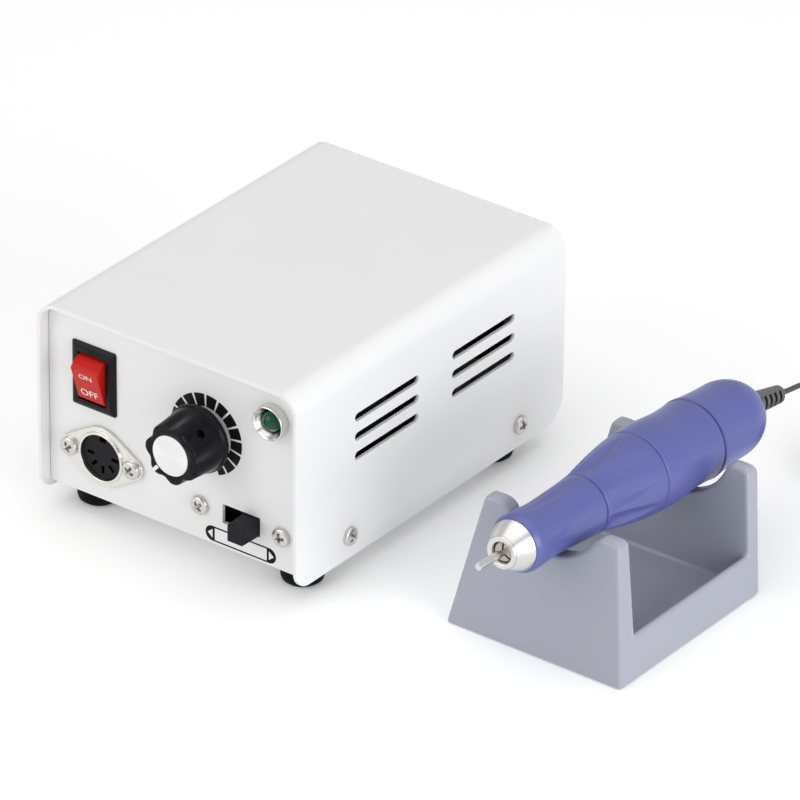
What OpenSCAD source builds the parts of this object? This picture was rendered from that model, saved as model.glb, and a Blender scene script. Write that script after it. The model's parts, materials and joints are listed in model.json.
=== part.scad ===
// Dental micromotor set: mains control box, handpiece on its cradle, handpiece lead wound for storage.
// Millimetres. +Z is up, the control panel faces -Y, and +X runs to the right along the panel.
// The origin lies on the table, in the middle of the box and the cradle together.

/* [Control box] */
// Width over the cover's side walls
box_w = 96; // [90:1:110]
// Depth of the cover, front edge to rear edge
box_d = 130; // [122:1:150]
// Height of the cover, lower edge to top
box_h = 64; // [62:1:75]
// Thickness of the folded sheet
sheet = 1.2; // [0.8:0.1:1.6]
// Outer radius of the bends between top and side walls
bend_r = 7; // [4:0.5:9]
// How far the panels stand inside the cover's front and rear edges
panel_inset = 4; // [3:0.5:6]
// How far the cover's lower edge hangs below the chassis floor
skirt = 2.6; // [1.5:0.1:3.5]
// Height of the cover's lower edge above the table
under_gap = 6.2; // [5:0.1:9]
// Radius of the side walls' lower front corners
front_corner_r = 6; // [3:0.5:10]
// Radius of the side walls' lower rear corners
rear_corner_r = 9; // [3:0.5:14]
// Diameter of a rubber foot
foot_d = 13.2; // [10:0.2:14]
// Distance of a foot's middle from the nearest side wall's outside
foot_inset = 10; // [8.2:0.2:14]
// Distance of the front feet's middles from the cover's front edge
foot_front = 16; // [13:0.5:24]
// Distance of the rear feet's middles from the cover's rear edge
foot_rear = 22; // [13:0.5:24]

/* [Vents and cover screws] */
// Length of a vent slot
vent_l = 30.5; // [15:0.5:34]
// Width of a vent slot
vent_w = 2.8; // [1.5:0.1:4]
// Rise from one slot to the next
vent_pitch = 6.4; // [5:0.1:8]
// Slots in one group
vent_count = 3; // [1:1:4]
// Height of the middle slots above the cover's lower edge
vent_z = 39; // [30:0.5:42]
// Distance between the middles of the two groups
vent_spread = 46.7; // [38:0.1:52]
// Distance between the two screws of one side
cover_screw_pitch = 83; // [60:1:88]
// Height of the cover screws above the cover's lower edge
cover_screw_z = 7.5; // [6.5:0.1:9]

/* [Front panel] */
// Rocker switch, middle from the box's left side
switch_x = 18.6; // [14:0.2:22]
// Rocker switch, middle above the cover's lower edge
switch_z = 42.6; // [38:0.2:46]
// Width of the switch bezel
bezel_w = 16.2; // [15:0.1:18]
// Height of the switch bezel
bezel_h = 21.2; // [20.4:0.1:24]
// How far the bezel stands off the panel
bezel_t = 1.6; // [1:0.1:2.2]
// Height of the bezel's upright edge below its sloped frame
bezel_edge = 0.5; // [0.3:0.1:0.9]
// Width of the rocker
rocker_w = 9.8; // [8:0.1:10.4]
// Radius of the rocker about its pivot
rocker_r = 7.5; // [7:0.1:7.8]
// Angle that the rocker leans either way
rocker_lean = 18; // [9:1:20]
// Lead socket, middle from the box's left side
socket_x = 21.5; // [19:0.2:25]
// Lead socket, middle above the cover's lower edge
socket_z = 17.4; // [15.5:0.2:18]
// Distance between the socket's screws
socket_pitch = 23.2; // [22.4:0.1:25]
// Radius of the socket's round insert
insert_r = 7.2; // [6.5:0.1:7.6]
// Speed knob, middle from the box's left side
knob_x = 60; // [52:0.5:64]
// Speed knob, middle above the cover's lower edge
knob_z = 38.6; // [36:0.2:42]
// Height of the knob's face above the panel
knob_h = 17; // [15:0.5:20]
// Radius of the knob's skirt
skirt_r = 10.8; // [10.4:0.1:12.5]
// Radius of the knob's grip at its face
grip_r = 9.4; // [8.8:0.1:10]
// Number of finger flutes in the grip
flute_count = 7; // [5:1:9]
// Depth of the flutes at the knob's face
flute_depth = 1.3; // [0.8:0.1:1.6]
// Radius of the spun metal cap in the knob's face
cap_r = 6.5; // [5:0.1:7]
// Turn of the speed control from lowest to highest
knob_turn = 270; // [240:5:300]
// Diameter of the control's shaft
pot_shaft_d = 6; // [5:0.05:6.4]
// Pilot lamp, middle from the box's right side
lamp_inset = 11.4; // [10:0.2:16]
// Pilot lamp, middle above the cover's lower edge
lamp_z = 51.6; // [46:0.2:53]
// Radius of the lamp's bezel
lamp_r = 5.6; // [5:0.1:7]
// Slide switch, middle from the box's right side
slide_inset = 23.3; // [22:0.1:28]
// Slide switch, middle above the cover's lower edge
slide_z = 13.9; // [12.5:0.1:15]
// Length of the slide switch's opening
slide_slot_l = 13.8; // [12.5:0.1:15]
// Height of the slide switch's opening
slide_slot_h = 6.4; // [5.6:0.1:7]
// Length of the sliding button
button_l = 5.8; // [4.5:0.1:9]
// How far the sliding button stands off the panel
button_h = 7.9; // [3:0.1:9]
// Distance between the slide switch's screws
slide_pitch = 30; // [28:0.1:31]

/* [Inside and rear] */
// Width of the transformer's core
core_w = 38; // [34:1:40]
// Height of the transformer's core
core_h = 33; // [28:1:38]
// Stack thickness of the transformer's core
core_t = 18; // [14:1:20]
// Width of the circuit board
board_w = 35; // [34:1:38]
// Length of the circuit board
board_l = 60; // [56:1:64]
// Height of the circuit board above the chassis floor
board_z = 8; // [6:0.5:10]
// Radius of the empty bore of the mains-cord gland
gland_bore_r = 3.2; // [2.5:0.1:3.6]
// Radius of the foot-control jack's bore
jack_bore_r = 3.2; // [2.4:0.05:3.3]

/* [Cradle] */
// Gap between the box and the cradle's base
cradle_gap = 37.6; // [30:0.2:60]
// Distance of the cradle's front edge behind the cover's front edge
cradle_y = 21.9; // [10:0.1:30]
// Width of the cradle's base
cradle_w = 62.4; // [60:0.2:70]
// Depth of the cradle's base
cradle_d = 68.9; // [64:0.1:74]
// Inward lean of the sides, run over rise
side_lean = 0.18; // [0.12:0.01:0.2]
// Backward lean of the end plates, run over rise
plate_lean = 0.19; // [0.1:0.01:0.22]
// Thickness of the end plates at the horns
plate_t = 5.4; // [4:0.1:7]
// Extra thickness of the front plate at its foot
front_foot_t = 3; // [0:0.1:5]
// Height of the front horns
front_horn_h = 42; // [40:0.5:46]
// Height of the rear horns
rear_horn_h = 38.2; // [35:0.5:42]
// Radius of the rounded horn tops
horn_r = 2.7; // [2.2:0.1:2.8]
// Width of a horn at its top
horn_w = 8; // [6:0.1:9]
// Radius of the horn tops seen from the side
edge_r = 2.2; // [0.5:0.1:2.4]
// Radius of the U notches
notch_r = 17.5; // [16.5:0.1:18.5]
// Height of the low side walls
tray_wall_h = 12.8; // [9:0.1:16]
// Thickness of the low side walls
tray_wall_t = 1.8; // [1.4:0.1:5]
// Thickness of the tray's floor
tray_floor_t = 3.5; // [2:0.1:6]

/* [Handpiece] */
// Height of the handpiece's axis at the nose
nose_z = 41.8; // [41:0.1:44]
// How far the nose stands ahead of the cradle's front edge
nose_reach = 16.2; // [12:0.1:20]
// Upward tilt of the nose
nose_tilt = 3; // [1:0.5:4]
// Length from the nose to the seam before the chuck ring
seam_1 = 39; // [38:0.1:42]
// Length from the nose to the seam behind the chuck ring
seam_2 = 64.2; // [63.2:0.1:66]
// Length from the nose to the seam before the rear cap
seam_3 = 92.3; // [92:0.1:96]
// Length from the nose to the rear cap's end
cap_end = 122.5; // [120:0.1:128]
// Length of the cord boot
boot_l = 16.9; // [12:0.1:20]
// Droop of the cord boot below the handpiece's axis
boot_droop = 8; // [0:0.5:10]
// Radius of the nose sleeve's front lip
lip_r = 9; // [8.6:0.1:9.2]
// Radius of the nose sleeve's waist
neck_r = 8.5; // [8.3:0.05:8.8]
// Radius at the seam before the chuck ring
seam_1_r = 9.3; // [9.2:0.05:9.6]
// Radius at the seam behind the chuck ring
seam_2_r = 13; // [12.6:0.05:13.2]
// Radius at the seam before the rear cap
seam_3_r = 12.8; // [12.6:0.05:13]
// Diameter of the shank that the collet takes
shank_d = 2.35; // [1.6:0.05:2.4]
// How far the chuck pin stands out of the nose
pin_reach = 11; // [8:0.5:16]
// Turn of the chuck ring from locked to open
chuck_turn = 60; // [30:5:90]
// Finger hollows round the chuck ring
hollow_count = 9; // [6:1:12]
// Outer diameter of the three ball bearings
bearing_d = 13; // [12.6:0.1:13.2]
// Bore of the three ball bearings
bearing_bore = 6; // [5:0.1:6.4]

/* [Lead] */
// Diameter of the handpiece's lead
cord_d = 1.6; // [1.6:0.05:1.7]
// Turns in each layer of the stored coil
coil_turns = 5; // [3:1:5]
// Layers of the stored coil
coil_layers = 4; // [2:2:4]

/* [Hidden] */
// Running clearance of a turning fit
run_gap = 0.05;
// Clearance between pieces that are fixed together
fit_gap = 0.02;
// Clearance round a sliding or removable piece
free_gap = 0.25;
$fn = 64;

// Heights of the box above the table
cover_z = under_gap;
floor_z = cover_z + skirt;
floor_top = floor_z + sheet;
roof_z = cover_z + box_h;
// Outside faces of the front and rear panels
panel_y = panel_inset;
rear_y = box_d - panel_inset;
// Clearance between the chassis and the cover
slip = 0.2;
chassis_x = sheet + slip;
chassis_w = box_w - 2 * chassis_x;
chassis_top = roof_z - sheet - slip;
tab_h = 14;

// Cradle and handpiece placing
cradle_x = box_w + cradle_gap;
axis_x = cradle_x + cradle_w / 2;
nose_y = cradle_y - nose_reach;
cap_end_y = nose_y + cap_end * cos(nose_tilt);
cap_end_z = nose_z - cap_end * sin(nose_tilt);
boot_tilt = nose_tilt + boot_droop;
boot_tip_r = 1.35;
boot_stem_r = 2;
boot_r = 3.5;
front_y = panel_y - knob_h;
back_y = cap_end_y + boot_l * cos(boot_tilt) + boot_tip_r * sin(boot_tilt);
origin_x = (cradle_x + cradle_w) / 2;
origin_y = (front_y + back_y) / 2;

// Panel pieces
lamp_x = box_w - lamp_inset;
slide_x = box_w - slide_inset;
pivot_back = 0.8;
rocker_face = 4.6;
rocker_pin_r = 1;
switch_body_w = rocker_w + 3;
switch_body_h = 2 * rocker_r + 3.4;
switch_depth = 13;
flange_t = 1.2;
shell_t = 0.8;
socket_bore_r = insert_r + 0.15;
socket_depth = 11;
screw_r = 1.5;
screw_head_r = 3;
screw_head_h = 1.7;
nut_r = 2.9;
nut_h = 1.8;
knob_lift = 3;
skirt_h = 1.6;
flute_r = 3.2;
flute_lean = 7;
pointer_angle = 227;
bushing_r = pot_shaft_d / 2 + 1;
pot_r = 8.2;
pot_depth = 8;
bushing_h = 5.5;
pot_nut_r = bushing_r + 1.8;
pot_nut_h = 1.8;
shaft_top = knob_h - 3;
knob_recess_r = pot_nut_r + 0.6;
knob_recess_top = bushing_h + 0.6;
set_screw_r = 1.3;
set_screw_up = 10.5;
lens_r = 3.4;
dish_h = 3.2;
button_rest = slide_x + slide_slot_l / 2 - free_gap - button_l / 2;
button_travel = slide_slot_l - button_l - 2 * free_gap;
slide_frame_t = 0.8;
slide_body_l = 23;
slide_body_h = 10.5;
slide_depth = 9;

// Inside pieces
lug_l = 7;
strap_t = 1;
core_x = chassis_x + sheet + 0.6 + lug_l + strap_t + 0.1 + core_w / 2;
leg_w = core_w / 6;
coil_t = core_t + 12;
core_y = rear_y - sheet - 31 - coil_t / 2;
board_x = core_x + core_w / 2 + strap_t + 2;
board_y = rear_y - sheet - 22 - board_l;
board_t = 1.6;
standoff_r = 2.4;
board_edge = 4;
sink_w = 26;
sink_h = 30;
sink_t = 12;
sink_fins = 6;
can_r = 6.3;
can_h = 22;

// Rear panel pieces
rear_z = cover_z + 24;
fuse_x = 20;
jack_x = 42;
gland_x = 72;
fuse_r = 6;
fuse_head_r = 7.8;
fuse_cap_r = 5.2;
jack_r = 5;
gland_r = gland_bore_r + 2;

// Handpiece pieces
ring_r = 8;
face_ring_r = 5.1;
ring_l = 6.2;
bore_r = bearing_d / 2;
nose_bore_r = 3.35;
collet_r = 3.1;
tube_r = bore_r + 1.5;
bearing_l = 5;
bearing_at = [12, 58, 98];
spindle_r = bearing_bore / 2;
motor_shaft_r = 2.6;
collet_tail_r = 2;
collet_end = 32;
spindle_end = 104;
collar_r = 5.2;
spring_from = 20;
spring_to = 42;
can_outer_r = 11;
can_wall = 1.1;
sleeve_bore_r = can_outer_r + 0.1;
motor_start = 70.5;
motor_end = 88;
armature_r = 7.9;
magnet_in_r = 8.3;
commutator_r = 4.2;
commutator_at = 89.5;
commutator_l = 5.5;
brush_w = 3;
brush_l = 3.6;
cap_wall = 1.8;
dome_at = 109;
dome_r = 12;
seam_gap = 0.15;
rest_gap = 0.15;
// Step of the cradle's side walls behind the plates' sides
tray_step = 0.3;
bell_in_r = 8.6;
bell_back = bearing_at[2] - 0.5;
bell_wall = 1.5;
bell_hole_r = 4.6;
// Longer than any cut along the handpiece needs
through = 200;

// Route of the lead from the boot to the coil, in the part's own frame, points chosen by hand
cord_r = cord_d / 2;
boot_dir = [0, cos(boot_tilt), -sin(boot_tilt)];
boot_tip = [axis_x - origin_x, cap_end_y - origin_y, cap_end_z] + boot_l * boot_dir;
coil_pitch = cord_d + 0.5;
coil_in_r = 5.4;
coil_out_r = coil_in_r + (coil_turns - 1) * coil_pitch;
coil_edge_r = coil_out_r + coil_pitch / 2;
tie_t = 0.6;
tie_w = 5;
tie_gap = 0.3;
coil_z = tie_t + tie_gap + cord_r;
coil_at = [86, 100];
coil_lead = 3;
coil_start = [coil_at[0] - coil_lead, coil_at[1] + coil_edge_r, coil_z];
lead_free = [[67, 88.2, 30.6], [67.2, 92, 29], [67.5, 95.4, 26.5], [67.9, 98.4, 23.2], [68.4, 101, 19.6],
             [69, 103.2, 15.9], [69.8, 105.2, 12.3], [70.8, 107.2, 9], [72.1, 109.2, 6], [74, 111.2, 3.7],
             [76.4, 112.8, 2.3], [79, 113.7, 1.8]];
lead_route = concat([boot_tip + 0.03 * boot_dir, boot_tip + 4 * boot_dir], lead_free,
                    [coil_start - [2.5, 0, 0], coil_start]);
// The stored coil ends in its top layer, where the plug lies beside it
coil_count = coil_turns * coil_layers;
plug_r = coil_z + (coil_layers - 1) * coil_pitch;
plug_at = [coil_at[0] + coil_lead, coil_at[1] + coil_edge_r, plug_r];
plug_boot_l = 14;
plug_shell_l = 24;
plug_nose_l = 9;
plug_nose_r = insert_r - 0.6;

// Shared placing: layout lengths start at the box's left side, the cover's front edge and the table
module place() translate([-origin_x, -origin_y, 0]) children();
// Local +Z points out of the front panel, local +Y stays up
module on_panel(x, z) place() translate([x, panel_y, cover_z + z]) rotate([90, 0, 0]) children();
// Local +Z points out of the rear panel
module on_rear(x) place() translate([x, rear_y, rear_z]) rotate([-90, 0, 0]) children();
// Local +Z runs from the nose to the rear along the handpiece's axis
module on_handpiece()
    place() translate([axis_x, nose_y, nose_z]) rotate([-90 - nose_tilt, 0, 0]) children();

// Shared shapes
function ease(t) = t * t * (3 - 2 * t);
function between(t, from, to) = from + (to - from) * t;
function arc(center, r, from, to, steps) =
    [for (i = [0:steps]) let (a = between(i / steps, from, to)) center + r * [cos(a), sin(a)]];

module tube(r_out, r_in, from, to) {
    translate([0, 0, from])
        difference() {
            cylinder(r = r_out, h = to - from);
            translate([0, 0, -1]) cylinder(r = r_in, h = to - from + 2);
        }
}

module rounded_plate(w, h, r, t) {
    linear_extrude(t) {
        square([w - 2 * r, h], center = true);
        square([w, h - 2 * r], center = true);
        for (x = [-1, 1], y = [-1, 1])
            translate([x * (w / 2 - r), y * (h / 2 - r)]) circle(r = r, $fn = 24);
    }
}

// Pan-head screw: head on the plane z = 0, shank below it, with a cross recess
module pan_screw(length) {
    difference() {
        rotate_extrude($fn = 32)
            polygon(concat([[0, 0], [screw_head_r, 0], [screw_head_r, screw_head_h * 0.45]],
                           arc([screw_head_r - 0.9, screw_head_h * 0.45], 0.9, 10, 80, 3),
                           [[0, screw_head_h]]));
        for (turn = [0, 90])
            rotate(turn) translate([-screw_head_r * 0.6, -0.3, screw_head_h - 0.7])
                cube([screw_head_r * 1.2, 0.6, 1]);
    }
    translate([0, 0, -length]) cylinder(r = screw_r, h = length + 0.1, $fn = 24);
}

// Outline of the cover seen from the front, inset all round except below
module arch(inset, r) {
    w = box_w - 2 * inset;
    translate([inset, cover_z]) square([w, box_h - inset - r]);
    translate([inset + r, cover_z]) square([w - 2 * r, box_h - inset]);
    for (x = [inset + r, box_w - inset - r])
        translate([x, roof_z - inset - r]) circle(r = r);
}

// What the rounding takes off a square corner at the origin
module corner_waste(r) {
    difference() {
        translate([-1, -1]) square(r + 1);
        translate([r, r]) circle(r = r);
    }
}

module vent_slots() {
    for (group = [-1, 1], row = [0:vent_count - 1])
        translate([box_d / 2 + 1.2 + group * vent_spread / 2,
                   cover_z + vent_z + (row - (vent_count - 1) / 2) * vent_pitch]) {
            square([vent_l - vent_w, vent_w], center = true);
            for (end = [-1, 1])
                translate([end * (vent_l - vent_w) / 2, 0]) circle(d = vent_w, $fn = 24);
        }
}

// Places of the cover screws on both sides, local +Z pointing out of the wall
module at_cover_screws(reach) {
    for (end = [-1, 1], side = [0, 1])
        translate([side * box_w + (side * 2 - 1) * reach, box_d / 2 + 1.6 + end * cover_screw_pitch / 2,
                   cover_z + cover_screw_z])
            rotate([0, side * 180 - 90, 0]) children();
}

module at_feet() {
    for (x = [foot_inset, box_w - foot_inset], y = [foot_front, box_d - foot_rear])
        translate([x, y, 0]) children();
}

module top_cover() {
    color("whitesmoke") place() difference() {
        translate([0, box_d, 0]) rotate([90, 0, 0]) linear_extrude(box_d) difference() {
            arch(0, bend_r);
            arch(sheet, bend_r - sheet);
            translate([sheet, 0]) square([box_w - 2 * sheet, cover_z + 1]);
        }
        translate([-1, 0, 0]) rotate([90, 0, 90]) linear_extrude(box_w + 2) {
            translate([0, cover_z]) corner_waste(front_corner_r);
            translate([box_d, cover_z]) mirror([1, 0]) corner_waste(rear_corner_r);
            vent_slots();
        }
        at_cover_screws(0.5) translate([0, 0, -3]) cylinder(r = screw_r + 0.15, h = 6, $fn = 24);
    }
}

// Chassis folded from one sheet: floor, front and rear panels, and side tabs for the cover screws
module chassis_sheet() {
    intersection() {
        translate([chassis_x, 0, 0]) rotate([90, 0, 90]) linear_extrude(chassis_w) {
            translate([panel_y, floor_z]) square([rear_y - panel_y, sheet]);
            translate([panel_y, floor_z]) square([sheet, chassis_top - floor_z]);
            translate([rear_y - sheet, floor_z]) square([sheet, chassis_top - floor_z]);
        }
        translate([0, box_d, 0]) rotate([90, 0, 0]) linear_extrude(box_d)
            arch(sheet + slip, bend_r - sheet - slip);
    }
    for (x = [chassis_x, box_w - chassis_x - sheet])
        translate([x, box_d / 2 + 1.6 - cover_screw_pitch / 2 - 7, floor_z])
            cube([sheet, cover_screw_pitch + 14, tab_h]);
}

module panel_hole(x, z, r) {
    translate([x, panel_y - 1, cover_z + z]) rotate([-90, 0, 0]) cylinder(r = r, h = sheet + 2);
}

module rear_hole(x, r) {
    translate([x, rear_y - sheet - 1, rear_z]) rotate([-90, 0, 0]) cylinder(r = r, h = sheet + 2);
}

module panel_window(x, z, w, h) {
    translate([x - w / 2, panel_y - 1, cover_z + z - h / 2]) cube([w, sheet + 2, h]);
}

module chassis() {
    color("whitesmoke") place() difference() {
        chassis_sheet();
        panel_window(switch_x, switch_z, switch_body_w + 0.2, switch_body_h + 0.2);
        panel_hole(socket_x, socket_z, socket_bore_r + shell_t + 0.2);
        for (end = [-1, 1]) {
            panel_hole(socket_x + end * socket_pitch / 2, socket_z, screw_r + 0.1);
            panel_hole(slide_x + end * slide_pitch / 2, slide_z, screw_r + 0.1);
        }
        panel_hole(knob_x, knob_z, bushing_r + fit_gap);
        panel_hole(lamp_x, lamp_z, lens_r + 1.3);
        panel_window(slide_x, slide_z, slide_slot_l, slide_slot_h);
        rear_hole(fuse_x, fuse_r + fit_gap);
        rear_hole(jack_x, jack_r + fit_gap);
        rear_hole(gland_x, gland_r + fit_gap);
        at_cover_screws(0.5) translate([0, 0, -8]) cylinder(r = screw_r + fit_gap, h = 9, $fn = 24);
        at_feet() cylinder(r = screw_r + fit_gap, h = floor_top + 1, $fn = 24);
    }
}

module cover_screws() {
    color("silver") place() at_cover_screws(fit_gap) pan_screw(6);
}

// Turned rubber feet with a counterbore for their screws
module rubber_feet() {
    color("black") place() at_feet() rotate_extrude()
        polygon([[screw_r + fit_gap, 3.4], [screw_head_r + 0.3, 3.4], [screw_head_r + 0.3, 0],
                 [foot_d / 2 - 1.4, 0], [foot_d / 2 - 0.4, 0.8], [foot_d / 2, 2], [foot_d / 2, floor_z],
                 [screw_r + fit_gap, floor_z]]);
}

module foot_screws() {
    color("silver") place() at_feet() {
        translate([0, 0, 3.4]) mirror([0, 0, 1]) pan_screw(floor_top - 3.4 + nut_h + 0.6);
        translate([0, 0, floor_top]) cylinder(r = nut_r, h = nut_h, $fn = 6);
    }
}

// Rocker switch: moulded body behind the panel, bezel in front, open cavity for the rocker
module switch_bezel() {
    cavity_r = rocker_r + 0.35;
    color("black") on_panel(switch_x, switch_z) difference() {
        union() {
            rounded_plate(bezel_w, bezel_h, 0.8, bezel_edge);
            hull()
                for (step = [[0.2, bezel_edge - 0.1], [3, bezel_t - 0.1]])
                    translate([0, 0, step[1]]) linear_extrude(0.1)
                        square([bezel_w - step[0], bezel_h - step[0]], center = true);
            translate([-switch_body_w / 2, -switch_body_h / 2, -switch_depth])
                cube([switch_body_w, switch_body_h, switch_depth + 0.1]);
        }
        translate([-rocker_w / 2 - free_gap, 0, -pivot_back]) rotate([0, 90, 0])
            cylinder(r = cavity_r, h = rocker_w + 2 * free_gap);
        translate([-rocker_w / 2 - free_gap, -cavity_r, -pivot_back])
            cube([rocker_w + 2 * free_gap, 2 * cavity_r, bezel_t + pivot_back + 1]);
        translate([-switch_body_w / 2 + 0.5, 0, -pivot_back]) rotate([0, 90, 0])
            cylinder(r = rocker_pin_r + run_gap, h = switch_body_w - 1, $fn = 32);
    }
}

// Rocker with its pivot pins, leaning to its OFF side: the upper edge stands out
module rocker() {
    pin_l = switch_body_w - 1.4;
    color("red") on_panel(switch_x, switch_z) translate([0, 0, -pivot_back]) rotate([rocker_lean, 0, 0]) {
        intersection() {
            translate([-rocker_w / 2, 0, 0]) rotate([0, 90, 0]) cylinder(r = rocker_r, h = rocker_w);
            translate([-rocker_w, -2 * rocker_r, -3.2])
                cube([2 * rocker_w, 4 * rocker_r, rocker_face + 3.2]);
        }
        translate([-pin_l / 2, 0, 0]) rotate([0, 90, 0]) cylinder(r = rocker_pin_r, h = pin_l, $fn = 32);
    }
}

module switch_tabs() {
    color("goldenrod") on_panel(switch_x, switch_z) for (row = [-1, 0, 1])
        translate([-2.4, row * 6 - 0.4, -switch_depth - 7]) cube([4.8, 0.8, 7]);
}

// Socket flange: lozenge plate on the panel with a pressed collar and a shell behind
module socket_flange() {
    color("silver") on_panel(socket_x, socket_z) difference() {
        union() {
            linear_extrude(flange_t) hull() {
                circle(r = socket_bore_r + 2.4, $fn = 48);
                for (end = [-1, 1])
                    translate([end * socket_pitch / 2, 0]) circle(r = 3.7, $fn = 32);
            }
            cylinder(r = socket_bore_r + 0.9, h = flange_t + 0.6);
            translate([0, 0, -socket_depth]) cylinder(r = socket_bore_r + shell_t, h = socket_depth + 0.1);
        }
        translate([0, 0, -socket_depth - 1]) cylinder(r = socket_bore_r, h = socket_depth + 5);
        for (end = [-1, 1])
            translate([end * socket_pitch / 2, 0, -1]) cylinder(r = screw_r + 0.1, h = 5, $fn = 24);
    }
}

// Socket insert: keyway above, five contact slots on an arc below
module socket_insert() {
    color("black") on_panel(socket_x, socket_z) difference() {
        translate([0, 0, -socket_depth]) cylinder(r = insert_r, h = socket_depth + 0.4);
        translate([-1.2, insert_r - 2.6, -3]) cube([2.4, 4, 6]);
        for (pin = [-2:2])
            rotate(pin * 45 - 90) translate([insert_r * 0.62, 0, -6]) rounded_slot();
    }
}

module rounded_slot() {
    translate([-1.3, -0.55, 0]) cube([2.6, 1.1, 10]);
}

module socket_screws() {
    color("silver") for (end = [-1, 1])
        on_panel(socket_x + end * socket_pitch / 2, socket_z) {
            translate([0, 0, flange_t]) pan_screw(flange_t + sheet + nut_h + 0.6);
            translate([0, 0, -sheet - nut_h]) cylinder(r = nut_r, h = nut_h, $fn = 6);
        }
}

// Knob: skirt, tapered grip with finger flutes that run out towards the skirt, hollow underneath
module speed_knob() {
    shoulder = knob_lift + skirt_h + 0.6;
    flute_l = knob_h - shoulder - 0.3;
    color("black") on_panel(knob_x, knob_z) rotate(pointer_angle) difference() {
        rotate_extrude()
            polygon([[0, knob_lift], [skirt_r - 0.4, knob_lift], [skirt_r, knob_lift + 0.4],
                     [skirt_r, knob_lift + skirt_h], [skirt_r - 0.5, shoulder],
                     [grip_r + 0.1, knob_h - 0.7], [grip_r - 0.5, knob_h], [0, knob_h]]);
        for (i = [0:flute_count - 1])
            rotate((i + 0.5) * 360 / flute_count) translate([grip_r + flute_r - flute_depth, 0, knob_h])
                rotate([0, -flute_lean, 0]) translate([0, 0, -flute_l])
                    cylinder(r = flute_r, h = flute_l + 2);
        translate([0, 0, knob_h - 0.8]) cylinder(r = cap_r + fit_gap, h = 2);
        translate([0, 0, -1]) cylinder(r = knob_recess_r, h = knob_recess_top + 1);
        translate([0, 0, 1]) cylinder(r = pot_shaft_d / 2 + fit_gap, h = shaft_top - 1 + 0.3);
        translate([cap_r + 0.2, -0.6, knob_h - 0.5]) cube([5, 1.2, 2]);
        rotate(180) translate([0, 0, set_screw_up]) rotate([0, 90, 0])
            cylinder(r = set_screw_r + fit_gap, h = skirt_r + 2, $fn = 24);
    }
}

module knob_cap() {
    color("gainsboro") on_panel(knob_x, knob_z)
        translate([0, 0, knob_h - 0.8]) cylinder(r = cap_r, h = 0.8);
}

module knob_set_screw() {
    color("dimgray") on_panel(knob_x, knob_z) rotate(pointer_angle + 180)
        translate([0, 0, set_screw_up]) rotate([0, 90, 0]) difference() {
            translate([0, 0, pot_shaft_d / 2 + 0.05]) cylinder(r = set_screw_r, h = 4.6, $fn = 24);
            translate([-2, -0.25, pot_shaft_d / 2 + 3.8]) cube([4, 0.5, 2]);
        }
}

module pot_shaft() {
    back = sheet + pot_depth - 1.5;
    color("silver") on_panel(knob_x, knob_z)
        translate([0, 0, -back]) cylinder(r = pot_shaft_d / 2, h = back + shaft_top);
}

// Speed control behind the panel: round body, threaded bushing through the panel, three lugs
module pot_body() {
    color("darkslategray") on_panel(knob_x, knob_z) difference() {
        union() {
            translate([0, 0, -sheet - pot_depth]) cylinder(r = pot_r, h = pot_depth);
            translate([0, 0, -sheet - 1]) cylinder(r = bushing_r, h = sheet + 1 + bushing_h);
            for (lug = [-1, 0, 1])
                translate([lug * 5 - 0.8, -pot_r - 4, -sheet - 4]) cube([1.6, pot_r, 0.8]);
        }
        translate([0, 0, -sheet - pot_depth + 1]) cylinder(r = pot_shaft_d / 2 + run_gap, h = 30);
    }
}

module pot_nut() {
    color("silver") on_panel(knob_x, knob_z) difference() {
        union() {
            cylinder(r = pot_nut_r, h = 0.6);
            translate([0, 0, 0.6]) cylinder(r = pot_nut_r, h = pot_nut_h, $fn = 6);
        }
        translate([0, 0, -1]) cylinder(r = bushing_r + fit_gap, h = 9);
    }
}

// Pilot lamp: polished dish with a flared mouth, held by a nut behind the panel
module lamp_bezel() {
    neck = lens_r + 1.2;
    color("silver") on_panel(lamp_x, lamp_z) {
        rotate_extrude()
            polygon([[lens_r + 0.1, -6], [neck, -6], [neck, 0], [lamp_r, 0], [lamp_r, 1.2],
                     [lamp_r - 0.5, dish_h], [lamp_r - 0.8, dish_h], [lens_r + 0.8, 1.4],
                     [lens_r + 0.3, 0.6], [lens_r + 0.1, 0.6]]);
        difference() {
            translate([0, 0, -sheet - nut_h]) cylinder(r = neck + 1.6, h = nut_h, $fn = 6);
            translate([0, 0, -5]) cylinder(r = neck, h = 9);
        }
    }
}

module lamp_lens() {
    color("darkgreen") on_panel(lamp_x, lamp_z) rotate_extrude($fn = 40)
        polygon(concat([[0, -7], [lens_r, -7]], arc([0, dish_h - 0.5 - lens_r], lens_r, 0, 90, 6)));
}

// Slide switch: pressed frame behind the panel with a moulded body
module slide_switch() {
    inner_l = slide_slot_l + 5;
    color("dimgray") on_panel(slide_x, slide_z) difference() {
        union() {
            translate([-slide_pitch / 2 - 4, -slide_body_h / 2, -sheet - slide_frame_t])
                cube([slide_pitch + 8, slide_body_h, slide_frame_t]);
            translate([-slide_body_l / 2, -slide_body_h / 2, -sheet - slide_depth])
                cube([slide_body_l, slide_body_h, slide_depth - 0.1]);
        }
        translate([-inner_l / 2, -slide_slot_h / 2 - 0.5, -sheet - 4])
            cube([inner_l, slide_slot_h + 1, 8]);
        for (end = [-1, 1])
            translate([end * slide_pitch / 2, 0, -9]) cylinder(r = screw_r + fit_gap, h = 12, $fn = 24);
    }
}

// Sliding button, at the right end of its travel, with the runner that keeps it in
module slide_button() {
    w = slide_slot_h - 2 * free_gap;
    color("black") on_panel(button_rest, slide_z) {
        translate([0, 0, -sheet - 1]) linear_extrude(sheet + 1 + button_h, scale = 0.94)
            square([button_l, w], center = true);
        translate([-button_l / 2 - 1.5, -w / 2 - 0.3, -sheet - 3.5]) cube([button_l + 3, w + 0.6, 3.2]);
    }
}

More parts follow.
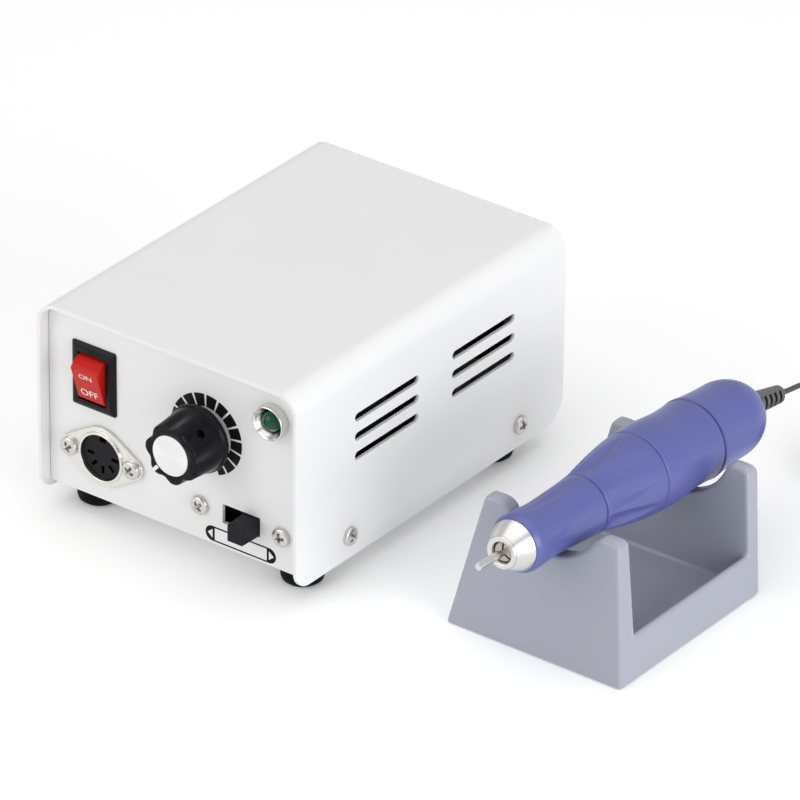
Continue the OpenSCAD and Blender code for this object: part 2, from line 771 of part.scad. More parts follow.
module slide_screws() {
    color("silver") for (end = [-1, 1])
        on_panel(slide_x + end * slide_pitch / 2, slide_z) pan_screw(sheet + slide_frame_t + 2.2);
}

// Mains transformer: laminated core with two windows, winding on the middle leg, strap with feet
module transformer_core() {
    color("slategray") place() translate([core_x, core_y, floor_top + sheet]) difference() {
        translate([-core_w / 2, -core_t / 2, 0]) cube([core_w, core_t, core_h]);
        for (side = [-1, 1])
            translate([side * (core_w / 2 - 1.5 * leg_w) - leg_w / 2, -core_t, leg_w])
                cube([leg_w, 2 * core_t, core_h - 2 * leg_w]);
    }
}

module transformer_coil() {
    h = core_h - 2 * leg_w - 0.4;
    color("peru") place() translate([core_x, core_y, floor_top + sheet + leg_w + 0.2]) difference() {
        linear_extrude(h) difference() {
            square([4 * leg_w - 0.4, coil_t], center = true);
            square([2 * leg_w + 0.4, core_t + 0.4], center = true);
        }
        for (end = [-1, 1])
            translate([-core_w, end * (coil_t / 2 + 0.8) - 1.6, h / 2 - 0.8]) cube([2 * core_w, 3.2, 1.6]);
    }
}

module transformer_frame() {
    band = core_t - 4;
    half = core_w / 2 + 0.1;
    color("lightgray") place() translate([core_x, core_y - band / 2, floor_top]) difference() {
        union() {
            translate([-half - strap_t - lug_l, 0, 0]) cube([2 * (half + strap_t + lug_l), band, sheet]);
            for (x = [-half - strap_t, half])
                translate([x, 0, 0]) cube([strap_t, band, sheet + core_h + 0.1 + strap_t]);
            translate([-half - strap_t, 0, sheet + core_h + 0.1])
                cube([2 * (half + strap_t), band, strap_t]);
        }
        for (side = [-1, 1])
            translate([side * (half + strap_t + lug_l / 2), band / 2, -1])
                cylinder(r = screw_r + fit_gap, h = sheet + 2, $fn = 24);
    }
}

module frame_screws() {
    color("silver") place() for (side = [-1, 1])
        translate([core_x + side * (core_w / 2 + 0.1 + strap_t + lug_l / 2), core_y, floor_top + sheet])
            pan_screw(sheet - fit_gap);
}

module at_board_corners() {
    for (x = [board_edge, board_w - board_edge], y = [board_edge, board_l - board_edge])
        translate([board_x + x, board_y + y, floor_top]) children();
}

module circuit_board() {
    color("darkgreen") place() difference() {
        translate([board_x, board_y, floor_top + board_z]) cube([board_w, board_l, board_t]);
        at_board_corners() cylinder(r = screw_r + 0.1, h = 40, $fn = 24);
    }
}

// Hexagon standoffs, each with its screw through the board
module board_standoffs() {
    color("goldenrod") place() at_board_corners() {
        cylinder(r = standoff_r, h = board_z, $fn = 6);
        translate([0, 0, board_z + board_t]) pan_screw(board_t + 1);
    }
}

module capacitors() {
    color("navy") place() for (i = [0, 1])
        translate([board_x + 12 + i * (2 * can_r + 1.5), board_y + 13, floor_top + board_z + board_t])
            rotate_extrude()
                polygon([[0, 0], [can_r, 0], [can_r, 1.6], [can_r - 0.5, 2.2], [can_r, 2.8],
                         [can_r, can_h - 0.8], [can_r - 0.8, can_h], [0, can_h]]);
}

// Extruded heat sink with upright fins, standing on the board
module heat_sink() {
    fin_t = 1.2;
    step = (sink_w - fin_t) / (sink_fins - 1);
    color("silver") place() translate([board_x + 6, board_y + 34, floor_top + board_z + board_t]) {
        cube([sink_w, 2.5, sink_h]);
        for (i = [0:sink_fins - 1])
            translate([i * step, 2.4, 0]) cube([fin_t, sink_t - 2.4, sink_h]);
    }
}

module power_transistor() {
    on_board = floor_top + board_z + board_t;
    color("black") place() translate([board_x + 6 + sink_w / 2, board_y + 34, on_board]) {
        translate([-5, -1.4, 6]) cube([10, 1.4, 15.5]);
        translate([-5, -4.5, 6]) cube([10, 3.2, 9]);
        for (leg = [-1, 0, 1])
            translate([leg * 2.5 - 0.4, -3, 0]) cube([0.8, 0.6, 6.2]);
    }
}

// Rear panel: bayonet fuse holder, foot-control jack and an empty gland for the mains cord
module fuse_holder() {
    color("black") on_rear(fuse_x) difference() {
        union() {
            cylinder(r = fuse_head_r, h = 2);
            cylinder(r = fuse_cap_r + 1.6, h = 4);
            translate([0, 0, -28]) cylinder(r = fuse_r, h = 29);
            translate([0, 0, -sheet - 3]) cylinder(r = fuse_head_r + 1, h = 3, $fn = 6);
        }
        translate([0, 0, -24]) cylinder(r = fuse_cap_r + 0.1 - 1.4, h = 40);
        translate([0, 0, 0.4]) cylinder(r = fuse_cap_r + 0.1, h = 9);
    }
}

module fuse_cap() {
    color("black") on_rear(fuse_x) difference() {
        union() {
            translate([0, 0, 0.5]) cylinder(r = fuse_cap_r, h = 8);
            translate([0, 0, -12]) cylinder(r = fuse_cap_r - 1.6, h = 13);
        }
        translate([-fuse_cap_r, -0.6, 7.3]) cube([2 * fuse_cap_r, 1.2, 3]);
        for (i = [0:11])
            rotate(i * 30) translate([fuse_cap_r + 0.3, 0, 4.6]) cylinder(r = 0.6, h = 5, $fn = 16);
    }
}

module pedal_jack() {
    color("dimgray") on_rear(jack_x) difference() {
        union() {
            cylinder(r = jack_r + 2.2, h = 2.6, $fn = 6);
            translate([0, 0, -sheet]) cylinder(r = jack_r, h = sheet + 4.4);
            translate([-8, -8, -sheet - 16]) cube([16, 16, 16]);
        }
        translate([0, 0, -sheet - 14]) cylinder(r = jack_bore_r, h = 30);
    }
}

module cord_gland() {
    color("black") on_rear(gland_x) rotate_extrude()
        polygon([[gland_bore_r, -sheet - 6], [gland_r + 2, -sheet - 6], [gland_r + 2, -sheet],
                 [gland_r, -sheet], [gland_r, 0], [gland_r + 2.6, 0], [gland_r + 2.6, 3],
                 [gland_r + 0.8, 7], [gland_bore_r, 7]]);
}

// Profile of the handpiece: radius at a length s behind the nose
function nose_profile(s) =
    s < 8.5 ? between(sin(90 * (s - ring_l - 0.1) / (8.5 - ring_l - 0.1)), ring_r + 0.2, lip_r)
    : s < 19 ? between(ease((s - 8.5) / 10.5), lip_r, neck_r)
    : between(ease((s - 19) / (seam_1 - 19)), neck_r, seam_1_r);
function ring_profile(s) =
    between(1 - pow(1 - (s - seam_1) / (seam_2 - seam_1), 1.4), seam_1_r, seam_2_r);
function body_profile(s) =
    between((s - seam_2) / (seam_3 - seam_2), seam_2_r, seam_3_r)
    + 0.35 * sin(360 * (s - seam_2) / (seam_3 - seam_2));
function cap_profile(s) =
    s < dome_at ? between((s - seam_3) / (dome_at - seam_3), seam_3_r + 0.25, dome_r)
    : dome_r * sqrt(max(0, 1 - pow((s - dome_at) / (cap_end + 0.6 - dome_at), 2)));
function stations(from, to, steps) = [for (i = [0:steps]) between(i / steps, from, to)];

module nose_ring() {
    color("silver") on_handpiece() rotate_extrude()
        polygon([[nose_bore_r, 0.3], [nose_bore_r + 0.3, 0], [face_ring_r - 0.4, 0], [face_ring_r, 0.4],
                 [face_ring_r, 1], [face_ring_r - 0.3, 1.3],
                 [ring_r - 0.5, ring_l - 0.9], [ring_r, ring_l - 0.4], [ring_r, ring_l],
                 [bore_r - fit_gap, ring_l], [bore_r - fit_gap, bearing_at[0]],
                 [nose_bore_r, bearing_at[0]]]);
}

// Nose sleeve, with the tube behind it that carries the chuck ring
module nose_sleeve() {
    color("mediumslateblue") on_handpiece() rotate_extrude()
        polygon(concat([[bore_r, ring_l]],
                       [for (s = stations(ring_l + 0.1, 8.5, 4)) [nose_profile(s), s]],
                       [for (s = stations(9.5, seam_1, 14)) [nose_profile(s), s]],
                       [[tube_r, seam_1], [tube_r, seam_2 + 3], [bore_r, seam_2 + 3]]));
}

// Chuck ring: flared sleeve with shallow finger hollows, turning on the nose sleeve's tube
module chuck_ring() {
    start = seam_1 + seam_gap;
    end = seam_2 - seam_gap;
    hollow_r = 7;
    slope = atan2(seam_2_r - seam_1_r, seam_2 - seam_1);
    color("mediumslateblue") on_handpiece() difference() {
        rotate_extrude()
            polygon(concat([[tube_r + run_gap, start]],
                           [for (s = stations(start, end, 12)) [ring_profile(s), s]],
                           [[tube_r + run_gap, end]]));
        for (i = [0:hollow_count - 1])
            rotate((i + 0.5) * 360 / hollow_count)
                translate([seam_1_r + hollow_r - 0.05, 0, seam_1]) rotate([0, slope, 0])
                    translate([0, 0, 2]) cylinder(r = hollow_r, h = 28, $fn = 48);
    }
}

module body_sleeve() {
    color("mediumslateblue") on_handpiece() rotate_extrude()
        polygon(concat([[tube_r + fit_gap, seam_2]],
                       [for (s = stations(seam_2, seam_3, 14)) [body_profile(s), s]],
                       [[sleeve_bore_r, seam_3], [sleeve_bore_r, seam_2 + 3.5],
                        [tube_r + fit_gap, seam_2 + 3.5]]));
}

// Domed rear cap, a shell with a hole for the cord boot
function dome_station(i) = dome_at + (cap_end - dome_at) * sin(9 * i);
module rear_cap() {
    start = seam_3 + 2 * seam_gap;
    lip = bell_back + 0.5;
    color("mediumslateblue") on_handpiece() rotate_extrude()
        polygon(concat([[sleeve_bore_r, start], [cap_profile(start) - 0.5, start],
                        [cap_profile(start), start + 0.7]],
                       [for (s = stations(start + 3, dome_at, 4)) [cap_profile(s), s]],
                       [for (i = [1:10]) let (s = dome_station(i)) [cap_profile(s), s]],
                       [[boot_stem_r, cap_end], [boot_stem_r, cap_end - cap_wall]],
                       [for (i = [9:-1:0]) let (s = dome_station(i) - cap_wall * 0.8)
                           [max(boot_stem_r, cap_profile(s) - cap_wall), s]],
                       [[sleeve_bore_r - 1.2, lip + 0.4], [sleeve_bore_r, lip]]));
}

// Ribbed strain relief: a stem seated in the rear cap, and the boot that droops from it
module cord_boot() {
    ribs = 5;
    foot = boot_r * sin(boot_droop) + 0.1;
    pitch = (boot_l - foot - 2.6) / ribs;
    color("dimgray") on_handpiece() {
        translate([0, 0, cap_end - 3]) cylinder(r = boot_stem_r - fit_gap, h = 3.6, $fn = 40);
        translate([0, 0, cap_end + fit_gap]) cylinder(r = boot_r - 0.5, h = 0.9, $fn = 40);
        translate([0, 0, cap_end]) rotate([-boot_droop, 0, 0]) rotate_extrude($fn = 40)
            polygon(concat([[0, foot], [boot_r, foot], [boot_r, foot + 1.2]],
                           [for (i = [0:ribs - 1], step = [0:3])
                               let (s = foot + 1.2 + (i + [0.22, 0.28, 0.72, 0.78][step]) * pitch,
                                    taper = between((i + 0.5) / ribs, boot_r, boot_r * 0.78))
                               [step == 0 || step == 3 ? taper - 0.9 : taper, s]],
                           [[boot_tip_r, boot_l - 1], [boot_tip_r, boot_l], [0, boot_l]]));
    }
}

module motor_can() {
    color("gray") on_handpiece() tube(can_outer_r, can_outer_r - can_wall, motor_start, motor_end);
}

module magnets() {
    r = can_outer_r - can_wall - fit_gap;
    color("dimgray") on_handpiece() difference() {
        tube(r, magnet_in_r, motor_start + 1, motor_end - 1);
        translate([-30, -3, 0]) cube([60, 6, through]);
    }
}

module armature() {
    color("peru") on_handpiece() difference() {
        tube(armature_r, motor_shaft_r + fit_gap, motor_start + 1.5, motor_end - 1.5);
        for (i = [0:4])
            rotate(i * 72) translate([5.4, 0, 0]) {
                translate([0, -0.5, 0]) cube([4, 1, through]);
                cylinder(r = 1.4, h = through, $fn = 24);
            }
    }
}

module commutator() {
    color("orange") on_handpiece() difference() {
        tube(commutator_r, motor_shaft_r + fit_gap, commutator_at, commutator_at + commutator_l);
        for (i = [0:4])
            rotate(i * 72 + 36) translate([commutator_r - 0.6, -0.15, 0]) cube([2, 0.3, through]);
    }
}

module at_brushes() {
    for (side = [0, 180])
        rotate(side) translate([0, 0, commutator_at + commutator_l / 2]) children();
}

module brushes() {
    color("black") on_handpiece() difference() {
        at_brushes() translate([2, -brush_w / 2, -brush_l / 2]) cube([6.5, brush_w, brush_l]);
        cylinder(r = commutator_r + run_gap, h = through);
    }
}

// End bell: carries the brush guides and the rear bearing, and joins body sleeve and cap
module end_bell() {
    color("darkslategray") on_handpiece() difference() {
        union() {
            rotate_extrude()
                polygon([[bell_in_r, motor_end + 0.2], [can_outer_r, motor_end + 0.2],
                         [can_outer_r, bell_back], [bore_r + 1.6, bell_back],
                         [bore_r + 1.6, bearing_at[2] + bearing_l],
                         [bore_r, bearing_at[2] + bearing_l], [bore_r, bearing_at[2]],
                         [bell_hole_r, bearing_at[2]], [bell_hole_r, bell_back - bell_wall],
                         [bell_in_r, bell_back - bell_wall]]);
            at_brushes() translate([commutator_r + 0.5, -brush_w / 2 - 0.8, -brush_l / 2 - 0.8])
                cube([4.6, brush_w + 1.6, brush_l + 1.6]);
        }
        at_brushes() translate([0, -brush_w / 2 - fit_gap, -brush_l / 2 - fit_gap])
            cube([8.55, brush_w + 2 * fit_gap, brush_l + 2 * fit_gap]);
    }
}

// Three alike ball bearings, seen as rings with shield grooves
module bearings() {
    r_out = bore_r - fit_gap;
    r_in = spindle_r + fit_gap;
    groove_in = between(0.3, r_in, r_out);
    groove_out = between(0.7, r_in, r_out);
    color("silver") on_handpiece() for (s = bearing_at)
        rotate_extrude() translate([0, s + fit_gap])
            polygon([[r_in, 0], [groove_in, 0], [groove_in, 0.4], [groove_out, 0.4], [groove_out, 0],
                     [r_out, 0],
                     [r_out, bearing_l - 2 * fit_gap], [groove_out, bearing_l - 2 * fit_gap],
                     [groove_out, bearing_l - 0.4], [groove_in, bearing_l - 0.4],
                     [groove_in, bearing_l - 2 * fit_gap], [r_in, bearing_l - 2 * fit_gap]]);
}

// Spindle: bored for the collet in front, two spring collars, motor shaft behind
module spindle() {
    color("silver") on_handpiece() rotate_extrude()
        polygon([[collet_tail_r + fit_gap, 7], [spindle_r, 7], [spindle_r, 18.5], [collar_r, 18.5],
                 [collar_r, spring_from], [spindle_r, spring_from], [spindle_r, spring_to],
                 [collar_r, spring_to], [collar_r, spring_to + 1.5], [spindle_r, spring_to + 1.5],
                 [spindle_r, 65], [motor_shaft_r, 65], [motor_shaft_r, 97], [spindle_r, 97],
                 [spindle_r, spindle_end], [0, spindle_end], [0, collet_end + 0.5],
                 [collet_tail_r + fit_gap, collet_end + 0.5]]);
}

// Split collet: three jaws in front, tail in the spindle
module collet() {
    color("lightgray") on_handpiece() difference() {
        rotate_extrude()
            polygon([[shank_d / 2 + fit_gap, 0.9], [collet_r - 0.4, 0.9], [collet_r, 1.3], [collet_r, 6.9],
                     [collet_tail_r, 6.9], [collet_tail_r, collet_end], [shank_d / 2 + fit_gap, collet_end]]);
        for (i = [0:2])
            rotate(i * 120 + 30) translate([0.6, -0.3, 0]) cube([5, 0.6, 5.5]);
    }
}

function helix(r, from, to, turns, steps) =
    [for (i = [0:steps])
        let (t = i / steps) [r * cos(360 * turns * t), r * sin(360 * turns * t), between(t, from, to)]];

module chuck_spring() {
    wire_r = 0.45;
    inset = wire_r + run_gap;
    color("silver") on_handpiece()
        sweep(helix(4.2, spring_from + inset, spring_to - inset, 7, 56), wire_r, 6, [0, 0, 1]);
}

module chuck_pin() {
    color("silver") on_handpiece() rotate_extrude($fn = 40)
        polygon([[0, -pin_reach], [shank_d / 2 - 0.35, -pin_reach], [shank_d / 2, -pin_reach + 0.35],
                 [shank_d / 2, 26], [0, 26]]);
}

// Cradle: two leaning end plates with U notches, a floor and two low side walls, one moulding
module trapezoid(w, from, to) {
    polygon([[-w / 2 + side_lean * from, from], [w / 2 - side_lean * from, from],
             [w / 2 - side_lean * to, to], [-w / 2 + side_lean * to, to]]);
}

// Front view of a plate up to a height: its rounded top reaches from one share of the half width to another
module plate_front(top, left, right) {
    edge = cradle_w / 2 - side_lean * (top - horn_r) - horn_r * sqrt(1 + side_lean * side_lean);
    hull() {
        trapezoid(cradle_w, 0, 1);
        for (x = [left * edge, right * edge])
            translate([x, top - horn_r]) circle(r = horn_r, $fn = 32);
    }
}

// Side view of a plate: the foot may be thicker than the horns, whose tops are rounded
module plate_side(foot_t, horn_h) {
    rise = horn_h - edge_r;
    back_lean = plate_lean - foot_t / horn_h;
    hull() {
        polygon([[0, 0], [plate_t + foot_t, 0], [plate_t + foot_t + back_lean, 1], [plate_lean, 1]]);
        translate([plate_lean * rise + edge_r * sqrt(1 + plate_lean * plate_lean), rise])
            circle(r = edge_r, $fn = 32);
        translate([plate_t + foot_t + back_lean * rise - edge_r * sqrt(1 + back_lean * back_lean), rise])
            circle(r = edge_r, $fn = 32);
    }
}

// An end plate: the middle under the notch and a horn on either side
module end_plate(y, foot_t, horn_h, notch_z) {
    edge = cradle_w / 2 - side_lean * (horn_h - horn_r) - horn_r;
    inner = 1 - (horn_w - 2 * horn_r) / edge;
    intersection() {
        translate([axis_x, y + cradle_d, 0]) rotate([90, 0, 0]) linear_extrude(2 * cradle_d) {
            plate_front(notch_z + 3, -1, 1);
            plate_front(horn_h, -1, -inner);
            plate_front(horn_h, inner, 1);
        }
        translate([cradle_x - 1, y, 0]) rotate([90, 0, 90]) linear_extrude(cradle_w + 2)
            plate_side(foot_t, horn_h);
    }
}

// Notch cut: a cylinder along the handpiece's axis whose lowest line lies just under the handpiece
module notch_cut(s_from, s_to, r_here) {
    on_handpiece() translate([0, r_here + rest_gap - notch_r, s_from])
        cylinder(r = notch_r, h = s_to - s_from, $fn = 96);
}

// Floor and side walls, reaching to the middle of both plates
module tray() {
    from = cradle_y + plate_t / 2;
    to = cradle_y + cradle_d - plate_t / 2;
    lean = plate_lean * tray_wall_h;
    intersection() {
        translate([axis_x, to + lean, 0]) rotate([90, 0, 0]) linear_extrude(cradle_d + lean) difference() {
            trapezoid(cradle_w - 2 * tray_step, 0, tray_wall_h);
            trapezoid(cradle_w - 2 * (tray_step + tray_wall_t), tray_floor_t, tray_wall_h + 1);
        }
        translate([cradle_x, 0, 0]) rotate([90, 0, 90]) linear_extrude(cradle_w)
            polygon([[from, 0], [to, 0], [to + lean, tray_wall_h], [from + lean, tray_wall_h]]);
    }
}

module cradle() {
    front_r = nose_profile(cradle_y + plate_t + 10 - nose_y);
    rear_r = body_profile(seam_3);
    color("darkgray") difference() {
        place() {
            end_plate(cradle_y, front_foot_t, front_horn_h, nose_z - front_r - 1.6);
            tray();
            end_plate(cradle_y + cradle_d - plate_t, 0, rear_horn_h, nose_z - rear_r - 4.6);
        }
        notch_cut(4, 42, front_r);
        notch_cut(60, 120, rear_r);
    }
}

// Swept tube through the points of a path, closed at both ends, with rings square to the path
function along(path, i) =
    let (v = path[min(i + 1, len(path) - 1)] - path[max(i - 1, 0)]) v / norm(v);
function ring_points(path, i, r, sides, ref) =
    let (t = along(path, i), u0 = cross(ref, t), u = u0 / norm(u0), v = cross(t, u))
    [for (k = [0:sides - 1]) path[i] + r * (u * cos(360 * k / sides) + v * sin(360 * k / sides))];

module sweep(path, r, sides, ref) {
    last = len(path) - 1;
    points = concat([for (i = [0:last]) each ring_points(path, i, r, sides, ref)],
                    [path[0], path[last]]);
    first_pole = len(points) - 2;
    sides_faces = [for (i = [0:last - 1], k = [0:sides - 1])
        let (a = i * sides + k, b = i * sides + (k + 1) % sides)
        each [[a, a + sides, b], [b, a + sides, b + sides]]];
    end_faces = [for (k = [0:sides - 1]) let (next = (k + 1) % sides)
        each [[first_pole, k, next], [first_pole + 1, last * sides + next, last * sides + k]]];
    polyhedron(points, concat(sides_faces, end_faces));
}

module cord_lead() {
    color("dimgray") sweep(lead_route, cord_r, 8, [1, -1, 1]);
}

// Stored coil: the radius runs in and out again, and each reversal climbs one layer in half a turn
rings_per_loop = 24;
function layer_of(turn) = min(floor(turn / coil_turns), coil_layers - 1);
function coil_radius(turn) =
    let (layer = layer_of(turn),
         part = turn / coil_turns - layer,
         rise = layer % 2 == 0 ? 1 - part : part)
    between(rise, coil_in_r - coil_pitch / 2, coil_edge_r);
function coil_height(turn) =
    let (k = round(turn / coil_turns), near = turn - k * coil_turns)
    k == 0 || k == coil_layers ? coil_z + layer_of(turn) * coil_pitch
    : coil_z + (k - 1 + min(1, max(0, near * 2 + 0.5))) * coil_pitch;
function coil_point(turn) =
    let (a = 90 - 360 * turn, r = coil_radius(turn))
    [coil_at[0] + r * cos(a), coil_at[1] + r * sin(a), coil_height(turn)];
// Both ends run straight for a little, square to what they meet
coil_path = concat([coil_start, coil_start + [cord_d, 0, 0]],
                   [for (i = [0:coil_count * rings_per_loop]) coil_point(i / rings_per_loop)],
                   [plug_at - [cord_d, 0, 0], plug_at]);

function least_gap(path, skip) =
    let (last = len(path) - 1)
    min([for (i = [0:2:last], j = [i + skip:1:min(last, i + 14 * rings_per_loop)]) norm(path[i] - path[j])])
    - cord_d;

module cord_coil() {
    color("dimgray") sweep(coil_path, cord_r, 6, [0, 0, 1]);
}

// Band round the coil's turns, lying under and over them
module cord_tie() {
    in_r = coil_in_r - cord_r - tie_gap - coil_pitch / 2;
    out_r = coil_out_r + cord_r + tie_gap + coil_pitch / 2;
    top = coil_z + (coil_layers - 1) * coil_pitch + cord_r + tie_gap;
    color("black") translate([coil_at[0] - tie_w / 2, coil_at[1] - out_r - tie_t, 0]) difference() {
        cube([tie_w, out_r - in_r + 2 * tie_t, top + tie_t]);
        translate([-1, tie_t, tie_t]) cube([tie_w + 2, out_r - in_r, top - tie_t]);
    }
}

// Five-pin plug on its side, local +Z running from the lead to the pins
module on_plug() translate(plug_at) rotate([0, 90, 0]) children();

module plug_boot() {
    ribs = 4;
    pitch = (plug_boot_l - 4) / ribs;
    color("dimgray") on_plug() rotate_extrude($fn = 40)
        polygon(concat([[0, 0.03], [1.4, 0.03], [1.4, 1]],
                       [for (i = [0:ribs - 1], step = [0:3])
                           let (s = 1 + (i + [0.1, 0.35, 0.7, 0.9][step]) * pitch,
                                wide = between((i + 0.5) / ribs, 1.9, 3.6))
                           [step == 0 || step == 3 ? wide - 0.6 : wide, s]],
                       [[4, plug_boot_l - 2.6], [4, plug_boot_l], [0, plug_boot_l]]));
}

module plug_shell() {
    end = plug_boot_l + plug_shell_l;
    color("silver") on_plug() rotate_extrude()
        polygon([[0, plug_boot_l], [plug_r - 2.2, plug_boot_l], [plug_r, plug_boot_l + 2.6],
                 [plug_r, end - 1], [plug_r - 0.6, end], [plug_nose_r, end], [plug_nose_r, end + plug_nose_l],
                 [plug_nose_r - 0.5, end + plug_nose_l], [plug_nose_r - 0.5, end], [0, end]]);
}

module plug_insert() {
    end = plug_boot_l + plug_shell_l;
    color("black") on_plug() difference() {
        translate([0, 0, end + fit_gap]) cylinder(r = plug_nose_r - 0.55, h = 3);
        for (pin = [-2:2])
            rotate(pin * 45) translate([insert_r * 0.62, 0, end + 1])
                cylinder(r = 0.72, h = 5, $fn = 24);
    }
}

module plug_pins() {
    end = plug_boot_l + plug_shell_l;
    color("gold") on_plug() for (pin = [-2:2])
        rotate(pin * 45) translate([insert_r * 0.62, 0, end + 1.02])
            cylinder(r = 0.7, h = plug_nose_l - 2, $fn = 24);
}

function total(list, i = 0) = i == len(list) ? 0 : list[i] + total(list, i + 1);
function path_length(path) = total([for (i = [0:len(path) - 2]) norm(path[i + 1] - path[i])]);
echo("lead from boot to coil", path_length(lead_route));
echo("length in the coil", path_length(coil_path));
echo("least gap of the coil to itself", least_gap(coil_path, 12));

chassis();
top_cover();
cover_screws();
rubber_feet();
foot_screws();
switch_bezel();
rocker();
switch_tabs();
socket_flange();
socket_insert();
socket_screws();
speed_knob();
knob_cap();
knob_set_screw();
pot_shaft();
pot_body();
pot_nut();
lamp_bezel();
lamp_lens();
slide_switch();
slide_button();
slide_screws();
transformer_core();
transformer_coil();
transformer_frame();
frame_screws();
circuit_board();
board_standoffs();
capacitors();
heat_sink();
power_transistor();
fuse_holder();
fuse_cap();
pedal_jack();
cord_gland();
cradle();
nose_ring();
nose_sleeve();
chuck_ring();
body_sleeve();
rear_cap();
cord_boot();
motor_can();
magnets();
armature();
commutator();
brushes();
end_bell();
bearings();
spindle();
collet();
chuck_spring();
chuck_pin();
cord_lead();
cord_coil();
cord_tie();
plug_shell();
plug_insert();
plug_pins();
plug_boot();
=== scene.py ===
# %% [markdown]
# # A dental micromotor, dressed around its engineering model
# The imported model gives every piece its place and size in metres. This lesson keeps those solids,
# gives each one a finish, and rebuilds the pieces whose curves or prints need more than flat facets:
# the handpiece's sleeves, the knob, the cradle's soft edges, the screws, the prints and the lead.

# %% Load the frame
import json
import math

import bmesh
import bpy
from mathutils import Matrix, Quaternion, Vector


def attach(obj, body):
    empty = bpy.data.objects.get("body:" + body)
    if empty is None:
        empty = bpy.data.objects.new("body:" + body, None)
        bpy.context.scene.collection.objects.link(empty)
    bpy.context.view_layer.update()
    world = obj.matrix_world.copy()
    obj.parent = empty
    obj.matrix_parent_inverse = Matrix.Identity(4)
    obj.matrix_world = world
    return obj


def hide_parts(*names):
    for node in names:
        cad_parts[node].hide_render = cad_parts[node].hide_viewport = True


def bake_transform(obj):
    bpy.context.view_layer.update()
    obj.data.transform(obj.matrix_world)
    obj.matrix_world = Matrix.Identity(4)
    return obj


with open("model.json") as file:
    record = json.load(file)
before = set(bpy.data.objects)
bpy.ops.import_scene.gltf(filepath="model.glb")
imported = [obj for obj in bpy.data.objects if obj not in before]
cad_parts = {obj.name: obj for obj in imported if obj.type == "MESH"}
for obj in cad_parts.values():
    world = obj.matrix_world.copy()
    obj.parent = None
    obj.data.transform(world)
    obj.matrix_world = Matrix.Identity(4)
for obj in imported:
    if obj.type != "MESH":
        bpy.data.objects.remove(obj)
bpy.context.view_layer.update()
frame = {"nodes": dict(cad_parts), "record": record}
record = frame["record"]
body_of = {node: body for body, group in record["behaviour"]["bodies"].items() for node in group}
slot_of = {entry["node"]: entry["material_slot"] for entry in record["subparts"]}
MM = 0.001
print("solids in the frame:", len(frame["nodes"]))

# %% [markdown]
# ## Where things are
# Lengths on the box are easiest to think of from its left side, the cover's front edge and the table.
# The frame's origin lies in the middle of the whole set, so the cover's low corner is read from the
# frame and one helper shifts between the two. The handpiece has its own line: lengths run from the
# nose to the rear, which drops by three degrees, and the lead's boot drops by eleven.

# %% Shared places
SIDE = Vector((1, 0, 0))
OUT = Vector((0, -1, 0))
UP = Vector((0, 0, 1))
bpy.context.view_layer.update()
cover = frame["nodes"]["top_cover"]
corners = [cover.matrix_world @ Vector(corner) for corner in cover.bound_box]
ORIGIN_X = -round(min(corner.x for corner in corners) / MM, 2)
ORIGIN_Y = -round(min(corner.y for corner in corners) / MM, 2)


def at(x, y, z):
    """A place in metres, from millimetres to the box's left side, its front edge and the table."""
    return Vector(((x - ORIGIN_X) * MM, (y - ORIGIN_Y) * MM, z * MM))


def leaning(degrees):
    """The way to the rear, dropping by an angle."""
    return Vector((0, math.cos(math.radians(degrees)), -math.sin(math.radians(degrees))))


def line_from(start, along):
    """A line to turn profiles round: its start, its way, and two ways across it."""
    return start, along, SIDE, SIDE.cross(along)


PANEL_Y = 4.0
HANDPIECE_L, BOOT_L = 122.5, 16.9
HANDPIECE = line_from(at(164.8, 5.7, 41.8), leaning(3.0))
BOOT = line_from(HANDPIECE[0] + HANDPIECE[1] * HANDPIECE_L * MM, leaning(11.0))
BOOT_TIP = BOOT[0] + BOOT[1] * BOOT_L * MM
KNOB = (at(60, PANEL_Y, 44.8), OUT, SIDE, UP)
print("frame's origin on the box:", ORIGIN_X, ORIGIN_Y, "boot's tip:", [round(v, 5) for v in BOOT_TIP])

# %% [markdown]
# ## Camera
# The set is seen from a long way off, so lines that run back stay nearly parallel. A lens of 386 mm
# on a 36 mm sensor gives that look. Right, upward and backward are the camera's own directions.

# %% Camera
scene = bpy.context.scene
lens = bpy.data.cameras.new("long_lens")
lens.lens = 385.76
lens.sensor_width = 36.0
lens.clip_end = 50.0
camera = bpy.data.objects.new("camera", lens)
scene.collection.objects.link(camera)
right = Vector((0.79604, 0.60519, 0.00815))
upward = Vector((-0.30395, 0.38809, 0.87006))
backward = Vector((0.52339, -0.69508, 0.49288))
stand = Vector((1.30065, -1.74693, 1.27507))
camera.matrix_world = Matrix.Translation(stand) @ Matrix((right, upward, backward)).transposed().to_4x4()
scene.camera = camera
print("camera's distance in metres:", round(stand.length, 2))

# %% [markdown]
# ## Studio
# A catalogue photo of white goods is lit by large soft boxes: one above, one from the front left and
# a stronger one from the right. Area lamps are the nearest thing to them, because their size sets how
# soft the shadows are.

# %% Lamps
scene.view_settings.view_transform = "Standard"


def softbox(name, place, target, size, watts):
    """A rectangular area lamp that faces a target."""
    light = bpy.data.lights.new(name, "AREA")
    light.shape = "RECTANGLE"
    light.size, light.size_y = size
    light.energy = watts
    lamp = bpy.data.objects.new(name, light)
    lamp.location = place
    lamp.rotation_euler = (Vector(target) - Vector(place)).to_track_quat("-Z", "Y").to_euler()
    scene.collection.objects.link(lamp)
    print(name, "with", watts, "watts")


softbox("top_box", (0.0, 0.0, 1.3), (0, 0, 0), (1.8, 1.6), 7.5)
softbox("front_box", (-0.7, -1.1, 0.6), (0, 0, 0.03), (0.9, 0.9), 5)
softbox("right_box", (1.3, -0.2, 0.4), (0, 0, 0.03), (1.0, 0.8), 11)

